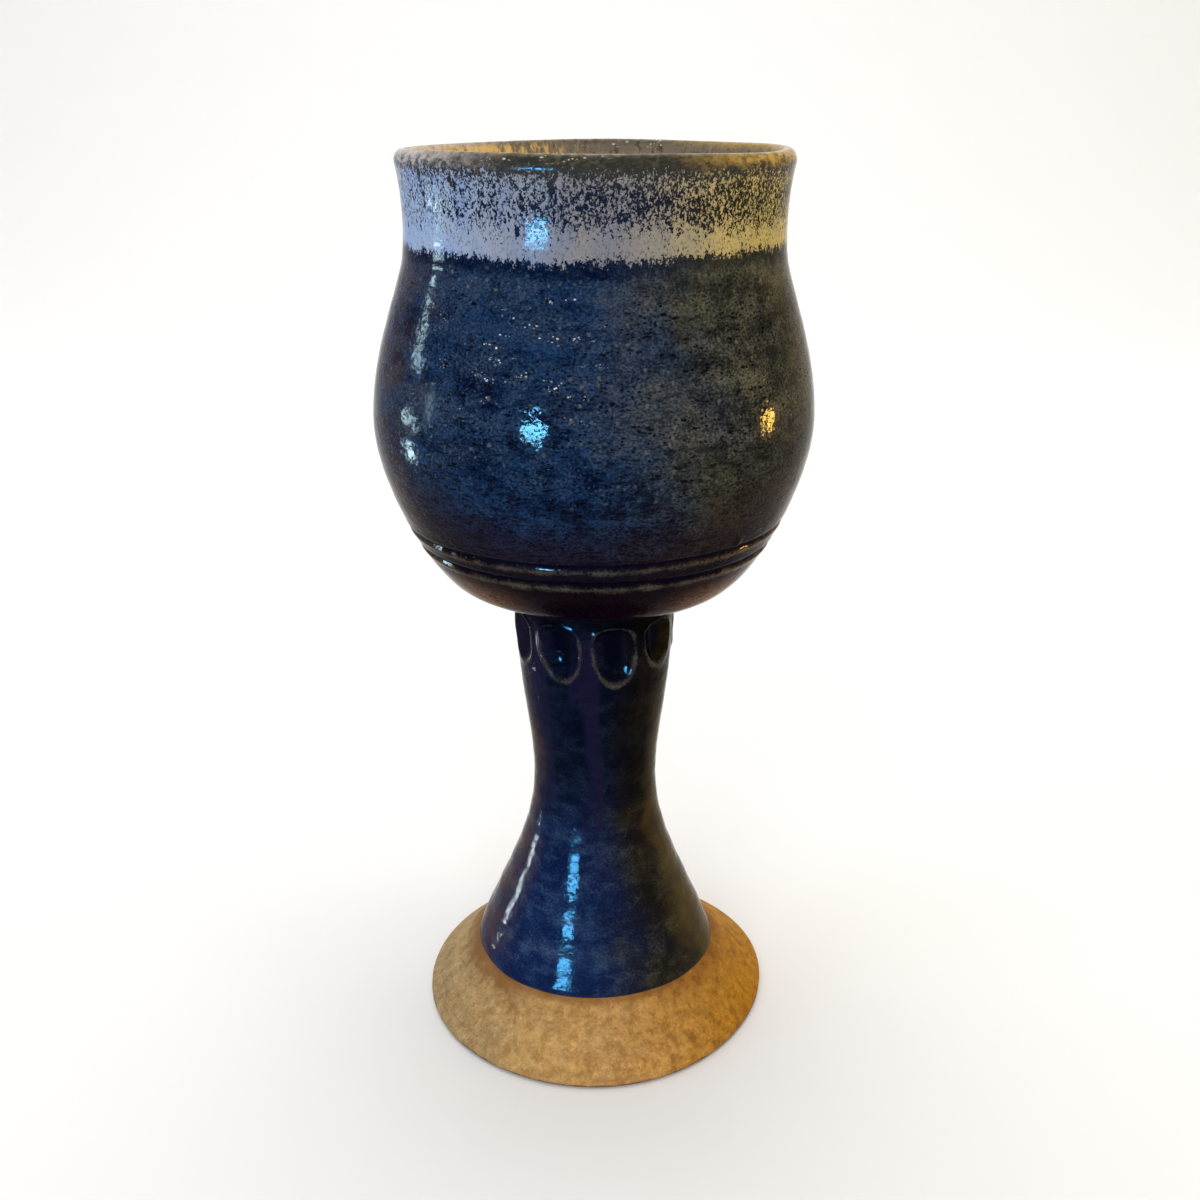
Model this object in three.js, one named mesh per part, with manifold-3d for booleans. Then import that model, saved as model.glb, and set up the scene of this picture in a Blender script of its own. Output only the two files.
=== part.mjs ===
// A wheel-thrown stoneware goblet: a full-bellied bowl luted to a hollow trumpet stem, with its glaze coats.
// Sizes are in millimetres, with +Z up and the origin at the middle of the ring that the foot stands on.
import * as THREE from "three";
import { mergeVertices } from "three/addons/utils/BufferGeometryUtils.js";
import Module from "manifold-3d";

const wasm = await Module();
wasm.setup();

// Main heights: the foot's ring to the joint, and the joint to the top of the lip
const STEM_HEIGHT = 91.8;
const BOWL_HEIGHT = 83.2;

// Bowl outside over its blue coat. A rise is measured up from the joint and a drop down from the lip's top.
const JOINT_RADIUS = 15.7;
const TURN_RADIUS = 26.2;
const TURN_RISE = 3.5;
const TURN_ANGLE = 14.8;
const TURN_PULL = 4.9;
const BELLY_RADIUS = 41.3;
const BELLY_RISE = 35.2;
const SHOULDER_DROP = 15.6;
const NECK_RADIUS = 34.1;
const NECK_DROP = 10.5;
const LIP_RADIUS = 35.5;
const LIP_WIDTH = 3.2;
const LIP_DROP = 2.2;

// How far each curve runs straight on before it bends, as a share of its height
const BELLY_EASE_DOWN = 0.383;
const BELLY_EASE_UP = 0.44;
const SHOULDER_EASE = 0.18;
const INSIDE_EASE = 0.72;
const BOTTOM_EASE = 0.74;

// Walls of the bowl, through the clay and its coats
const NECK_WALL = 4.4;
const BELLY_WALL = 4.8;
const BASE_THICKNESS = 9;

// Two lines cut round the lower bowl with a pointed tool
const GROOVE_RISES = [13.1, 16.9];
const GROOVE_WIDTH = 1.5;
const GROOVE_DEPTH = 0.55;

// Stem and foot
const WAIST_RADIUS = 12.6;
const WAIST_HEIGHT = 52.4;
const GLAZE_LINE_RADIUS = 25.4;
const GLAZE_LINE_HEIGHT = 12.4;
const GLAZE_LINE_SLOPE = 0.404;
const FOOT_RADIUS = 36.1;
const FOOT_EDGE_HEIGHT = 2;
const FOOT_EDGE_BEVEL = 0.6;
const FOOT_RING_WIDTH = 4.6;
const STEM_WALL = 4.2;
const COLLAR_EASE = 0.514;
const WAIST_EASE_UP = 0.29;
const WAIST_EASE_DOWN = 0.339;
const GLAZE_LINE_EASE = 0.427;

// Thumb-pressed scallops round the stem's top: the angle from the front, and how far each reaches below the joint
const SCALLOPS = [
  { azimuth: -69, reach: 12.9 },
  { azimuth: -27, reach: 14.2 },
  { azimuth: 15, reach: 15.1 },
  { azimuth: 55, reach: 13.5 },
  { azimuth: 100, reach: 13.9 },
  { azimuth: 146, reach: 14.6 },
  { azimuth: 192, reach: 13.7 },
  { azimuth: 241, reach: 14.4 },
];
const THUMB_HALF_WIDTH = 5.8;
const THUMB_TIP_LENGTH = 6;
const SCALLOP_DEPTH = 2.3;
const THUMB_STANDOFF = 0.2;
const COLLAR_HEIGHT = 3;

// Glaze coats, and the slip that joins the two thrown pieces
const COAT = 0.5;
const COAT_GAP = 0.15;
const BAND_COAT = 0.35;
const BAND_BOTTOM_DROP = 17.2;
const LINER_EDGE_DROP = 4.2;
const SEAM_GAP = 0.3;
const SLIP_THICKNESS = 0.9;
const SLIP_MARGIN = 0.4;

// How finely the round shapes are cut into facets
const TURNS = 36;
const THUMB_TURNS = 12;
const THUMB_TIP_STEPS = 3;
const BOWL_STEPS = 6;
const SWELL_STEPS = 5;
const LIP_STEPS = 4;
const INSIDE_STEPS = 4;
const STEM_STEPS = 5;
const FLARE_STEPS = 4;
const CLOSEST_POINTS = 0.3;

const STONEWARE = { color: 0xb08a55, roughness: 0.85, metalness: 0 };
const BLUE_GLAZE = { color: 0x1b2742, roughness: 0.15, metalness: 0 };
const BAND_GLAZE = { color: 0x9a9cad, roughness: 0.25, metalness: 0 };
const LINER_GLAZE = { color: 0x8c7a55, roughness: 0.25, metalness: 0 };
const DRY_SLIP = { color: 0x9b8562, roughness: 0.9, metalness: 0 };

const UNDER_COAT = COAT + COAT_GAP;
const LIP_TOP = STEM_HEIGHT + BOWL_HEIGHT;

// A point of an outline: its radius and its height
function point(radius, height) {
  return new THREE.Vector2(radius, height);
}

function bend(from, leave, arrive, to, steps) {
  return new THREE.CubicBezierCurve(from, leave, arrive, to).getPoints(steps);
}

// The unit vector to the left of the way from a to b
function leftOf(a, b) {
  const along = b.clone().sub(a).normalize();
  return point(-along.y, along.x);
}

// An open outline moved to its left by a distance, with mitred corners
function offset(outline, distance) {
  return outline.map((corner, i) => {
    const before = outline[i - 1] ? leftOf(outline[i - 1], corner) : null;
    const after = outline[i + 1] ? leftOf(corner, outline[i + 1]) : null;
    const first = before ?? after;
    const mitre = first.clone().add(after ?? before).normalize();
    return corner.clone().addScaledVector(mitre, distance / mitre.dot(first));
  });
}

// The stretch of a rising outline between two heights, with new points where it is cut
function between(outline, low, high) {
  const at = (height) => {
    const i = Math.max(1, outline.findIndex((p) => p.y >= height));
    const [a, b] = [outline[i - 1], outline[i]];
    return a.clone().lerp(b, (height - a.y) / (b.y - a.y));
  };
  const inside = outline.filter((p) => p.y > low + CLOSEST_POINTS && p.y < high - CLOSEST_POINTS);
  return [at(low), ...inside, at(high)];
}

// A rising outline with a V cut into it at a height
function withGroove(outline, height) {
  const edges = between(outline, height - GROOVE_WIDTH / 2, height + GROOVE_WIDTH / 2);
  const low = edges[0];
  const high = edges[edges.length - 1];
  const bottom = low.clone().lerp(high, 0.5).addScaledVector(leftOf(low, high), GROOVE_DEPTH);
  const below = outline.filter((p) => p.y < height - GROOVE_WIDTH);
  const above = outline.filter((p) => p.y > height + GROOVE_WIDTH);
  return [...below, low, bottom, high, ...above];
}

function toSolid(geometry) {
  geometry.deleteAttribute("normal");
  geometry.deleteAttribute("uv");
  const merged = mergeVertices(geometry);
  const vertProperties = merged.getAttribute("position").array;
  const triVerts = new Uint32Array(merged.index.array);
  return new wasm.Manifold(new wasm.Mesh({ numProp: 3, vertProperties, triVerts }));
}

// A section turned round the goblet's axis, with its outside on the right of the way along it
function turn(section) {
  return toSolid(new THREE.LatheGeometry(section, TURNS).rotateX(Math.PI / 2));
}

// A rising outline filled in to the axis
function turnFilled(outline) {
  const top = outline[outline.length - 1];
  return turn([point(0, outline[0].y), ...outline, point(0, top.y)]);
}

// A coat of even thickness, between an outline and the same outline moved inwards
function turnCoat(outline, thickness) {
  return turn([...outline, ...offset(outline, thickness).reverse(), outline[0].clone()]);
}

function addPiece(group, name, solid, finish) {
  const { vertProperties, triVerts } = solid.getMesh();
  const geometry = new THREE.BufferGeometry();
  geometry.setAttribute("position", new THREE.BufferAttribute(vertProperties, 3));
  geometry.setIndex(new THREE.BufferAttribute(triVerts, 1));
  geometry.computeVertexNormals();
  const mesh = new THREE.Mesh(geometry, new THREE.MeshStandardMaterial(finish));
  mesh.name = name;
  group.add(mesh);
}

// The bowl's outside over the blue coat, rising from the joint to the widest line of the lip
function bowlOutside() {
  const joint = point(JOINT_RADIUS, STEM_HEIGHT);
  const corner = point(TURN_RADIUS, STEM_HEIGHT + TURN_RISE);
  const angle = THREE.MathUtils.degToRad(TURN_ANGLE);
  const belly = point(BELLY_RADIUS, STEM_HEIGHT + BELLY_RISE);
  const shoulder = point(NECK_RADIUS, LIP_TOP - SHOULDER_DROP);
  const neck = point(NECK_RADIUS, LIP_TOP - NECK_DROP);
  const lip = point(LIP_RADIUS, LIP_TOP - LIP_DROP);
  const fall = belly.y - corner.y;
  const rise = shoulder.y - belly.y;
  const lower = bend(
    corner,
    point(corner.x + TURN_PULL * Math.cos(angle), corner.y + TURN_PULL * Math.sin(angle)),
    point(belly.x, belly.y - BELLY_EASE_DOWN * fall),
    belly,
    BOWL_STEPS,
  );
  const upper = bend(
    belly,
    point(belly.x, belly.y + BELLY_EASE_UP * rise),
    point(shoulder.x, shoulder.y - SHOULDER_EASE * rise),
    shoulder,
    SWELL_STEPS,
  );
  const flare = new THREE.QuadraticBezierCurve(neck, point(neck.x, (neck.y + lip.y) / 2), lip);
  const plain = [joint, ...lower, ...upper.slice(1)];
  const grooved = GROOVE_RISES.reduce((outline, rise) => withGroove(outline, joint.y + rise), plain);
  return [...grooved, ...flare.getPoints(2)];
}

// The liner's outside, from its edge under the lip, over the lip and down to the middle of the bottom
function linerOutside() {
  const lip = point(LIP_RADIUS - LIP_WIDTH / 2, LIP_TOP - LIP_DROP);
  const edge = between(bowlOutside(), LIP_TOP - LINER_EDGE_DROP, lip.y).slice(0, -1);
  const crest = new THREE.EllipseCurve(lip.x, lip.y, LIP_WIDTH / 2, LIP_DROP, 0, Math.PI);
  const throat = point(LIP_RADIUS - LIP_WIDTH, lip.y);
  const neck = point(NECK_RADIUS - NECK_WALL, LIP_TOP - SHOULDER_DROP);
  const belly = point(BELLY_RADIUS - BELLY_WALL, STEM_HEIGHT + BELLY_RISE);
  const bottom = point(0, STEM_HEIGHT + BASE_THICKNESS);
  const mouth = bend(
    throat,
    throat.clone().lerp(point(throat.x, neck.y), 0.5),
    neck.clone().lerp(point(neck.x, throat.y), 0.5),
    neck,
    2,
  );
  const swell = bend(
    neck,
    point(neck.x, neck.y - SHOULDER_EASE * (neck.y - belly.y)),
    point(belly.x, belly.y + BELLY_EASE_UP * (neck.y - belly.y)),
    belly,
    INSIDE_STEPS,
  );
  const cup = bend(
    belly,
    point(belly.x, belly.y - INSIDE_EASE * (belly.y - bottom.y)),
    point(BOTTOM_EASE * belly.x, bottom.y),
    bottom,
    INSIDE_STEPS + 1,
  );
  return [...edge, ...crest.getPoints(LIP_STEPS), ...mouth.slice(1), ...swell.slice(1), ...cup.slice(1)];
}

// The blue coat's outside, up to the seam where the liner comes over the lip
function blueOutside() {
  return between(bowlOutside(), STEM_HEIGHT, LIP_TOP - LINER_EDGE_DROP - SEAM_GAP);
}

// The clay's skin under both coats, from the joint over the lip to the middle of the bottom
function bowlSkin() {
  const skin = offset([...blueOutside(), ...linerOutside()], UNDER_COAT);
  skin[skin.length - 1].x = 0;
  return skin;
}

function makeBowl() {
  const skin = bowlSkin();
  return turn([point(0, skin[0].y), ...skin]);
}

function makeLiner() {
  const outline = linerOutside();
  const inner = offset(outline, COAT);
  inner[inner.length - 1].x = 0;
  return turn([...inner.reverse(), ...outline]);
}

// The white band, laid over the blue coat round the neck
function makeBand() {
  const covered = between(blueOutside(), LIP_TOP - BAND_BOTTOM_DROP, LIP_TOP - LINER_EDGE_DROP - SEAM_GAP);
  return turnCoat(offset(covered, -COAT_GAP - BAND_COAT), BAND_COAT);
}

// The stem's outside over its glaze, rising from the glaze line to the joint
function stemOutside() {
  const line = point(GLAZE_LINE_RADIUS, GLAZE_LINE_HEIGHT);
  const waist = point(WAIST_RADIUS, WAIST_HEIGHT);
  const joint = point(JOINT_RADIUS, STEM_HEIGHT - SEAM_GAP);
  const low = waist.y - line.y;
  const high = joint.y - waist.y;
  const flare = bend(
    line,
    point(line.x - GLAZE_LINE_SLOPE * GLAZE_LINE_EASE * low, line.y + GLAZE_LINE_EASE * low),
    point(waist.x, waist.y - WAIST_EASE_DOWN * low),
    waist,
    FLARE_STEPS,
  );
  const shaft = bend(
    waist,
    point(waist.x, waist.y + WAIST_EASE_UP * high),
    point(joint.x, joint.y - COLLAR_EASE * high),
    joint,
    STEM_STEPS,
  );
  return [...flare, ...shaft.slice(1)];
}

// The heights of the slip's two faces, just under the bowl's base
function slipHeights() {
  const top = bowlSkin()[0].y - COAT_GAP;
  return { top, bottom: top - SLIP_THICKNESS };
}

// The stem's clay under its glaze, up to its land under the slip
function stemSkin() {
  const skin = offset(stemOutside(), UNDER_COAT);
  skin[skin.length - 1].y = slipHeights().bottom - COAT_GAP;
  return skin;
}

// The shape that a thumb presses, grown by the coats that lie over the clay
function thumb(scallop, growth) {
  const half = THUMB_HALF_WIDTH + growth;
  const tip = THUMB_TIP_LENGTH + growth;
  const top = STEM_HEIGHT - COLLAR_HEIGHT + growth;
  const low = STEM_HEIGHT - scallop.reach - growth;
  const end = new THREE.EllipseCurve(0, low + tip, half, tip, -Math.PI / 2, 0);
  const outline = [...end.getPoints(THUMB_TIP_STEPS), point(half, top), point(0, top)];
  const press = new THREE.LatheGeometry(outline, THUMB_TURNS).rotateX(Math.PI / 2);
  press.scale(1, (SCALLOP_DEPTH + THUMB_STANDOFF + growth) / half, 1);
  press.translate(0, -JOINT_RADIUS - THUMB_STANDOFF, 0);
  press.rotateZ(THREE.MathUtils.degToRad(scallop.azimuth));
  return toSolid(press);
}

function pressScallops(body, growth) {
  return SCALLOPS.reduce((pressed, scallop) => pressed.subtract(thumb(scallop, growth)), body);
}

function makeStem() {
  const skin = stemSkin();
  const bore = offset(skin, STEM_WALL);
  bore[bore.length - 1].y = skin[skin.length - 1].y;
  const ring = point(FOOT_RADIUS - FOOT_RING_WIDTH, 0);
  const edge = [
    point(FOOT_RADIUS - FOOT_EDGE_BEVEL, 0),
    point(FOOT_RADIUS, FOOT_EDGE_BEVEL),
    point(FOOT_RADIUS, FOOT_EDGE_HEIGHT),
  ];
  return pressScallops(turn([ring, ...edge, ...skin, ...bore.reverse(), ring.clone()]), UNDER_COAT);
}

function makeStemGlaze() {
  const outline = stemOutside();
  const inner = offset(outline, COAT);
  const top = inner[inner.length - 1];
  top.y += COAT;
  const foot = point(inner[0].x + COAT, inner[0].y - COAT);
  const core = pressScallops(turnFilled([foot, ...inner]), COAT);
  return pressScallops(turnFilled(outline), 0).subtract(core);
}

// The ring of slip on the land between the stem's bore and its outside
function makeSlip() {
  const { top, bottom } = slipHeights();
  const skin = stemSkin();
  const outer = skin[skin.length - 1].x - SLIP_MARGIN;
  const inner = skin[skin.length - 1].x - STEM_WALL + SLIP_MARGIN;
  const corners = [point(inner, bottom), point(outer, bottom), point(outer, top), point(inner, top)];
  return turn([...corners, corners[0].clone()]);
}

const goblet = new THREE.Group();
addPiece(goblet, "bowl", makeBowl(), STONEWARE);
addPiece(goblet, "stem", makeStem(), STONEWARE);
addPiece(goblet, "luting_slip", makeSlip(), DRY_SLIP);
addPiece(goblet, "bowl_glaze", turnCoat(blueOutside(), COAT), BLUE_GLAZE);
addPiece(goblet, "rim_band_glaze", makeBand(), BAND_GLAZE);
addPiece(goblet, "liner_glaze", makeLiner(), LINER_GLAZE);
addPiece(goblet, "stem_glaze", makeStemGlaze(), BLUE_GLAZE);

export default goblet;
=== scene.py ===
"""The looks of a stoneware goblet: a thrown bowl on a hollow thrown stem, luted, glazed and fired.

Sizes are in millimetres until a mesh is made, and heights are measured from the surface that the goblet
stands on. Azimuth 0 faces the viewer (-Y) and grows towards +X.
"""

import logging
import math
from dataclasses import dataclass, field
from enum import Enum
from typing import Any, Callable, Sequence

import bpy
import numpy as np
from bpy.types import Material, Node, NodeSocket, NodeTree, Object, World
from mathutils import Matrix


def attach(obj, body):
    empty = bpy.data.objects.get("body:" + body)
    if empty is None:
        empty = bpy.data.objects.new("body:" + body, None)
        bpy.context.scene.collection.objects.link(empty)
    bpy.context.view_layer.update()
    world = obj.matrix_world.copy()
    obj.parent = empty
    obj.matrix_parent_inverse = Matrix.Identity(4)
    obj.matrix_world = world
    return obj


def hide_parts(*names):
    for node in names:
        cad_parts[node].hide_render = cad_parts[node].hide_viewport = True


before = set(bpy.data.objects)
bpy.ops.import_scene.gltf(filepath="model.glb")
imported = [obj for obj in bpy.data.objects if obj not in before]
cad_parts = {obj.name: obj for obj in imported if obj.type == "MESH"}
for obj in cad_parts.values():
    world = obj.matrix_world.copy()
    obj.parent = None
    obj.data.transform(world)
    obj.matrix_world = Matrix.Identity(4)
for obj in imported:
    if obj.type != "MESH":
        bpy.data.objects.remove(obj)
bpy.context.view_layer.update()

Array = np.ndarray
Colour = tuple[float, float, float]
Pair = tuple[float, float]

LOG = logging.getLogger("goblet")
ROOT = "root"
MM = 0.001
FULL_TURN = 2 * math.pi
TURNS = 400
HIDDEN_TURNS = 200
PLAIN: Colour = (1.0, 1.0, 1.0)


class Slot(Enum):
    """The record's material slots."""

    CLAY = "stoneware_clay"
    SLIP = "dry_slip"
    BLUE = "blue_glaze"
    WHITE = "white_glaze"
    TAN = "tan_glaze"


class Mark(Enum):
    """What a point of the surface carries for its finish."""

    THIN = "glaze_thin"
    POOLED = "glaze_pooled"


# Lines and grids


def bend(points: Sequence[Pair], steps: int = 160) -> Array:
    """A Bezier curve.

    Args:
        points: its control points, radius and height.
        steps: how many chords it is cut into.

    Returns:
        An array of steps + 1 points.
    """
    t = np.linspace(0, 1, steps + 1)[:, None]
    layers = [np.asarray(p, float)[None, :] for p in points]
    while len(layers) > 1:
        layers = [a * (1 - t) + b * t for a, b in zip(layers, layers[1:])]
    return layers[0]


def joined(*lines: Array) -> Array:
    """One line from several that meet end to end.

    Args:
        lines: the lines, in order.

    Returns:
        Their points, with each shared end once.
    """
    whole = [lines[0]]
    for line in lines[1:]:
        whole.append(line[1:] if np.allclose(line[0], whole[-1][-1], atol=1e-6) else line)
    return np.concatenate(whole)


def smoothstep(low: float, high: float, value: Array) -> Array:
    """0 below low, 1 above high and an even ramp between."""
    t = np.clip((value - low) / (high - low), 0, 1)
    return t * t * (3 - 2 * t)


def bell(value: Array, width: float) -> Array:
    """A smooth hump, 1 where value is 0."""
    return np.exp(-((value / width) ** 2))


@dataclass
class Meridian:
    """A line of the pot's section, followed by its length.

    Its left-hand side, going along it, is the clay's, so a lift to the right stands out of the pot.
    """

    points: Array
    grain: float = 0.05
    round_off: float = 0.0

    def __post_init__(self) -> None:
        """Resamples the line evenly and works out its normals."""
        steps = np.hypot(*np.diff(self.points, axis=0).T)
        run = np.concatenate([[0], np.cumsum(steps)])
        count = max(int(run[-1] / self.grain), 8)
        even = np.linspace(0, run[-1], count + 1)
        line = np.stack([np.interp(even, run, self.points[:, k]) for k in (0, 1)], axis=1)
        if self.round_off:
            line = self.softened(line)
        self.line = line
        self.run = np.concatenate([[0], np.cumsum(np.hypot(*np.diff(line, axis=0).T))])
        along = np.gradient(line, self.run, axis=0)
        along /= np.linalg.norm(along, axis=1)[:, None]
        self.out = np.stack([along[:, 1], -along[:, 0]], axis=1)

    def softened(self, line: Array) -> Array:
        """Rounds a line's corners over about round_off.

        Args:
            line: evenly spaced points.

        Returns:
            As many points, softened.
        """
        half = int(self.round_off / self.grain)
        weights = np.hanning(2 * half + 1)
        weights /= weights.sum()
        ends = (2 * line[0] - line[half:0:-1], 2 * line[-1] - line[-2 : -half - 2 : -1])
        padded = np.concatenate([ends[0], line, ends[1]])
        return np.stack([np.convolve(padded[:, k], weights, "valid") for k in (0, 1)], axis=1)

    @property
    def length(self) -> float:
        """The line's whole length."""
        return float(self.run[-1])

    def mark(self, radius: float, height: float) -> float:
        """The length along the line where it passes nearest to a point."""
        gaps = np.hypot(self.line[:, 0] - radius, self.line[:, 1] - height)
        return float(self.run[int(np.argmin(gaps))])

    def at_height(self, height: float) -> float:
        """The first length along the line where it reaches a height."""
        return float(self.run[int(np.argmin(np.abs(self.line[:, 1] - height)))])

    def place(self, run: Array, lift: Array | float = 0.0) -> tuple[Array, Array]:
        """Points that stand off the line.

        Args:
            run: lengths along the line, of any shape.
            lift: how far each stands out of the pot.

        Returns:
            Radii and heights, in the shape of run.
        """
        radius, height = (np.interp(run, self.run, self.line[:, k]) for k in (0, 1))
        out_r, out_z = (np.interp(run, self.run, self.out[:, k]) for k in (0, 1))
        return radius + out_r * lift, height + out_z * lift

    def offset(self, lift: float) -> Array:
        """The whole line moved out of the pot by lift."""
        return self.line + self.out * lift


def stations(*spans: tuple[float, float, float]) -> Array:
    """Lengths along a line, from spans that follow on.

    Args:
        spans: where each span starts and ends, and its spacing.

    Returns:
        Rising or falling lengths, each once.
    """
    parts = []
    for start, end, spacing in spans:
        count = max(int(round(abs(end - start) / spacing)), 1)
        parts.append(np.linspace(start, end, count + 1)[:-1])
    parts.append(np.array([spans[-1][1]]))
    return np.concatenate(parts)


@dataclass
class Grid:
    """Rings of points round the axis that follow each other along a section."""

    radius: Array
    height: Array
    marks: dict[Mark, Array] = field(default_factory=dict)

    def followed_by(self, other: "Grid") -> "Grid":
        """This grid with another's rings after its own.

        Args:
            other: the rings that follow.

        Returns:
            All the rings.
        """
        marks = {m: np.concatenate([self.marked(m), other.marked(m)]) for m in Mark}
        radius = np.concatenate([self.radius, other.radius])
        return Grid(radius, np.concatenate([self.height, other.height]), marks)

    def marked(self, mark: Mark) -> Array:
        """The points' values of one mark, 0 where it was never set."""
        return self.marks.get(mark, np.zeros(self.radius.shape))

    def part(self, start: int, stop: int | None = None) -> "Grid":
        """The rings from start up to stop."""
        some = slice(start, stop)
        return Grid(self.radius[some], self.height[some], {m: v[some] for m, v in self.marks.items()})


def turn_angles(count: int) -> Array:
    """The azimuths of the points of one ring."""
    return np.arange(count) * FULL_TURN / count


def ringed(run: Array, turns: int) -> Array:
    """Lengths along a line, repeated for every point of their rings."""
    return np.broadcast_to(run[:, None], (len(run), turns))


def make_piece(name: str, grid: Grid) -> Object:
    """A closed smooth body from rings of points.

    Args:
        name: the piece's name.
        grid: its rings. Where the first and last shrink to a point the body ends there, and otherwise
            the last ring joins the first.

    Returns:
        The object, in metres, linked to the scene.
    """
    rows, turns = grid.radius.shape
    angle = turn_angles(turns)
    place = np.stack([grid.radius * np.sin(angle), -grid.radius * np.cos(angle), grid.height], axis=2)
    ids = np.arange(rows * turns).reshape(rows, turns)
    poles = float(np.abs(grid.radius[0]).max()) < 1e-6
    keep = np.ones(rows * turns, bool)
    if poles:
        ids[0, :] = ids[0, 0]
        ids[-1, :] = ids[-1, 0]
        keep[1:turns] = False
        keep[(rows - 1) * turns + 1 :] = False
    else:
        ids = np.concatenate([ids, ids[:1]])
    renumber = np.cumsum(keep) - 1
    ids = renumber[ids]
    after = np.roll(ids, -1, axis=1)
    quads = np.stack([ids[:-1], after[:-1], after[1:], ids[1:]], axis=2).reshape(-1, 4)
    points = place.reshape(-1, 3)[keep]
    corners = points[quads[:, [0, 1, 2]]], points[quads[:, [0, 2, 3]]]
    volume = sum(np.einsum("ij,ij->i", c[:, 0], np.cross(c[:, 1], c[:, 2])).sum() for c in corners)
    if volume < 0:
        quads = quads[:, ::-1]
    faces = [tuple(dict.fromkeys(q)) for q in quads.tolist()]
    mesh = bpy.data.meshes.new(name)
    mesh.from_pydata((points * MM).tolist(), [], faces)
    for mark, values in grid.marks.items():
        layer = mesh.attributes.new(mark.value, "FLOAT", "POINT")
        layer.data.foreach_set("value", values.reshape(-1)[keep].astype(np.float32))
    mesh.polygons.foreach_set("use_smooth", [True] * len(mesh.polygons))
    mesh.update()
    piece = bpy.data.objects.new(name, mesh)
    bpy.context.scene.collection.objects.link(piece)
    return piece


def settle(piece: Object, material: Material, slot: Slot, *nodes: str) -> None:
    """Dresses a finished piece and seats it in the frame.

    Args:
        piece: the object.
        material: its finish.
        slot: the record's material slot of its finish; not used.
        nodes: the CAD nodes that it stands for.
    """
    piece.data.materials.append(material)
    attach(piece, ROOT)
    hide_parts(*nodes)
    LOG.info("%s: %d faces, for %s", piece.name, len(piece.data.polygons), ", ".join(nodes))


# What the potter's hands leave on the clay


def drift(turn: Array, rise: Array, seed: int, pitch: float, lobes: int = 4) -> Array:
    """The slow unevenness of a hand-thrown wall.

    Args:
        turn: azimuths.
        rise: heights.
        seed: which unevenness it is.
        pitch: the shortest wave up the wall.
        lobes: the most waves round the wall.

    Returns:
        Values of about -1 to 1 that close on themselves round the pot.
    """
    draw = np.random.RandomState(seed)
    total = np.zeros(np.broadcast(turn, rise).shape)
    waves = 7
    for _ in range(waves):
        count = draw.randint(1, lobes + 1)
        climb = draw.uniform(-1, 1) * FULL_TURN / pitch
        total += np.cos(count * turn + climb * rise + draw.uniform(0, FULL_TURN))
    return total / math.sqrt(waves * 2)


def rings(turn: Array, rise: Array, seed: int, pitch: float) -> Array:
    """Throwing rings: one rising spiral whose pitch wanders, from -1 to 1."""
    phase = FULL_TURN * rise / pitch + turn + 1.7 * drift(turn, rise, seed, 26.0, 2)
    return 0.75 * np.cos(phase) + 0.25 * np.cos(2.3 * FULL_TURN * rise / pitch + 3 * turn + seed)


@dataclass(frozen=True)
class ThrownWall:
    """The outside as thrown: rings, and a little out of round."""

    ring_pitch: float = 5.6
    ring_heights: tuple[Pair, ...] = (
        (10, 0.035), (18, 0.06), (40, 0.055), (56, 0.02), (74, 0.02), (95, 0.02), (112, 0.022),
        (124, 0.012), (136, 0.01), (146, 0.024), (154, 0.014), (159, 0.006), (174, 0.0),
    )  # fmt: skip
    fine: float = 0.002
    out_of_round: float = 0.16

    def relief(self, turn: Array, rise: Array) -> Array:
        """How far the wall stands proud of the true form.

        Args:
            turn: azimuths.
            rise: heights.

        Returns:
            The relief.
        """
        height, size = zip(*self.ring_heights)
        marks = rings(turn, rise, 5, self.ring_pitch) * np.interp(rise, height, size)
        fine = self.fine * drift(turn, rise, 31, 2.4, 9)
        return marks + fine + self.out_of_round * drift(turn, rise, 8, 90.0, 3)


@dataclass(frozen=True)
class Groove:
    """A line cut round the bowl with a pointed tool."""

    height: float
    tilt: float
    width: float = 1.55
    depth: float = 0.5
    burr: float = 0.09

    def across(self, turn: Array, rise: Array) -> Array:
        """Distance from the groove's middle in half widths, growing upwards."""
        middle = self.height + self.tilt * np.sin(turn) + 0.1 * drift(turn, rise * 0, 60, 50.0, 5)
        return (rise - middle) / (self.width / 2)

    def relief(self, turn: Array, rise: Array) -> Array:
        """The cut, with the small burr that it raises on both sides.

        Args:
            turn: azimuths.
            rise: heights.

        Returns:
            The relief.
        """
        across = self.across(turn, rise)
        pressure = 1 + 0.18 * drift(turn, rise * 0, int(self.height), 50.0, 6)
        cut = -self.depth * np.clip(1 - np.abs(across) ** 1.3, 0, 1) * pressure
        return cut + self.burr * (bell(across + 1.35, 0.45) + 0.25 * bell(across - 1.35, 0.5))

    def thin(self, turn: Array, rise: Array) -> Array:
        """Where the glaze draws back from the cut's two edges."""
        across = self.across(turn, rise)
        return np.clip(0.62 * bell(across + 1.5, 1.0) + 0.35 * bell(across + 1.15, 0.4), 0, 1)

    def pooled(self, turn: Array, rise: Array) -> Array:
        """Where the glaze gathers in the cut."""
        return bell(self.across(turn, rise), 0.6)


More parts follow.
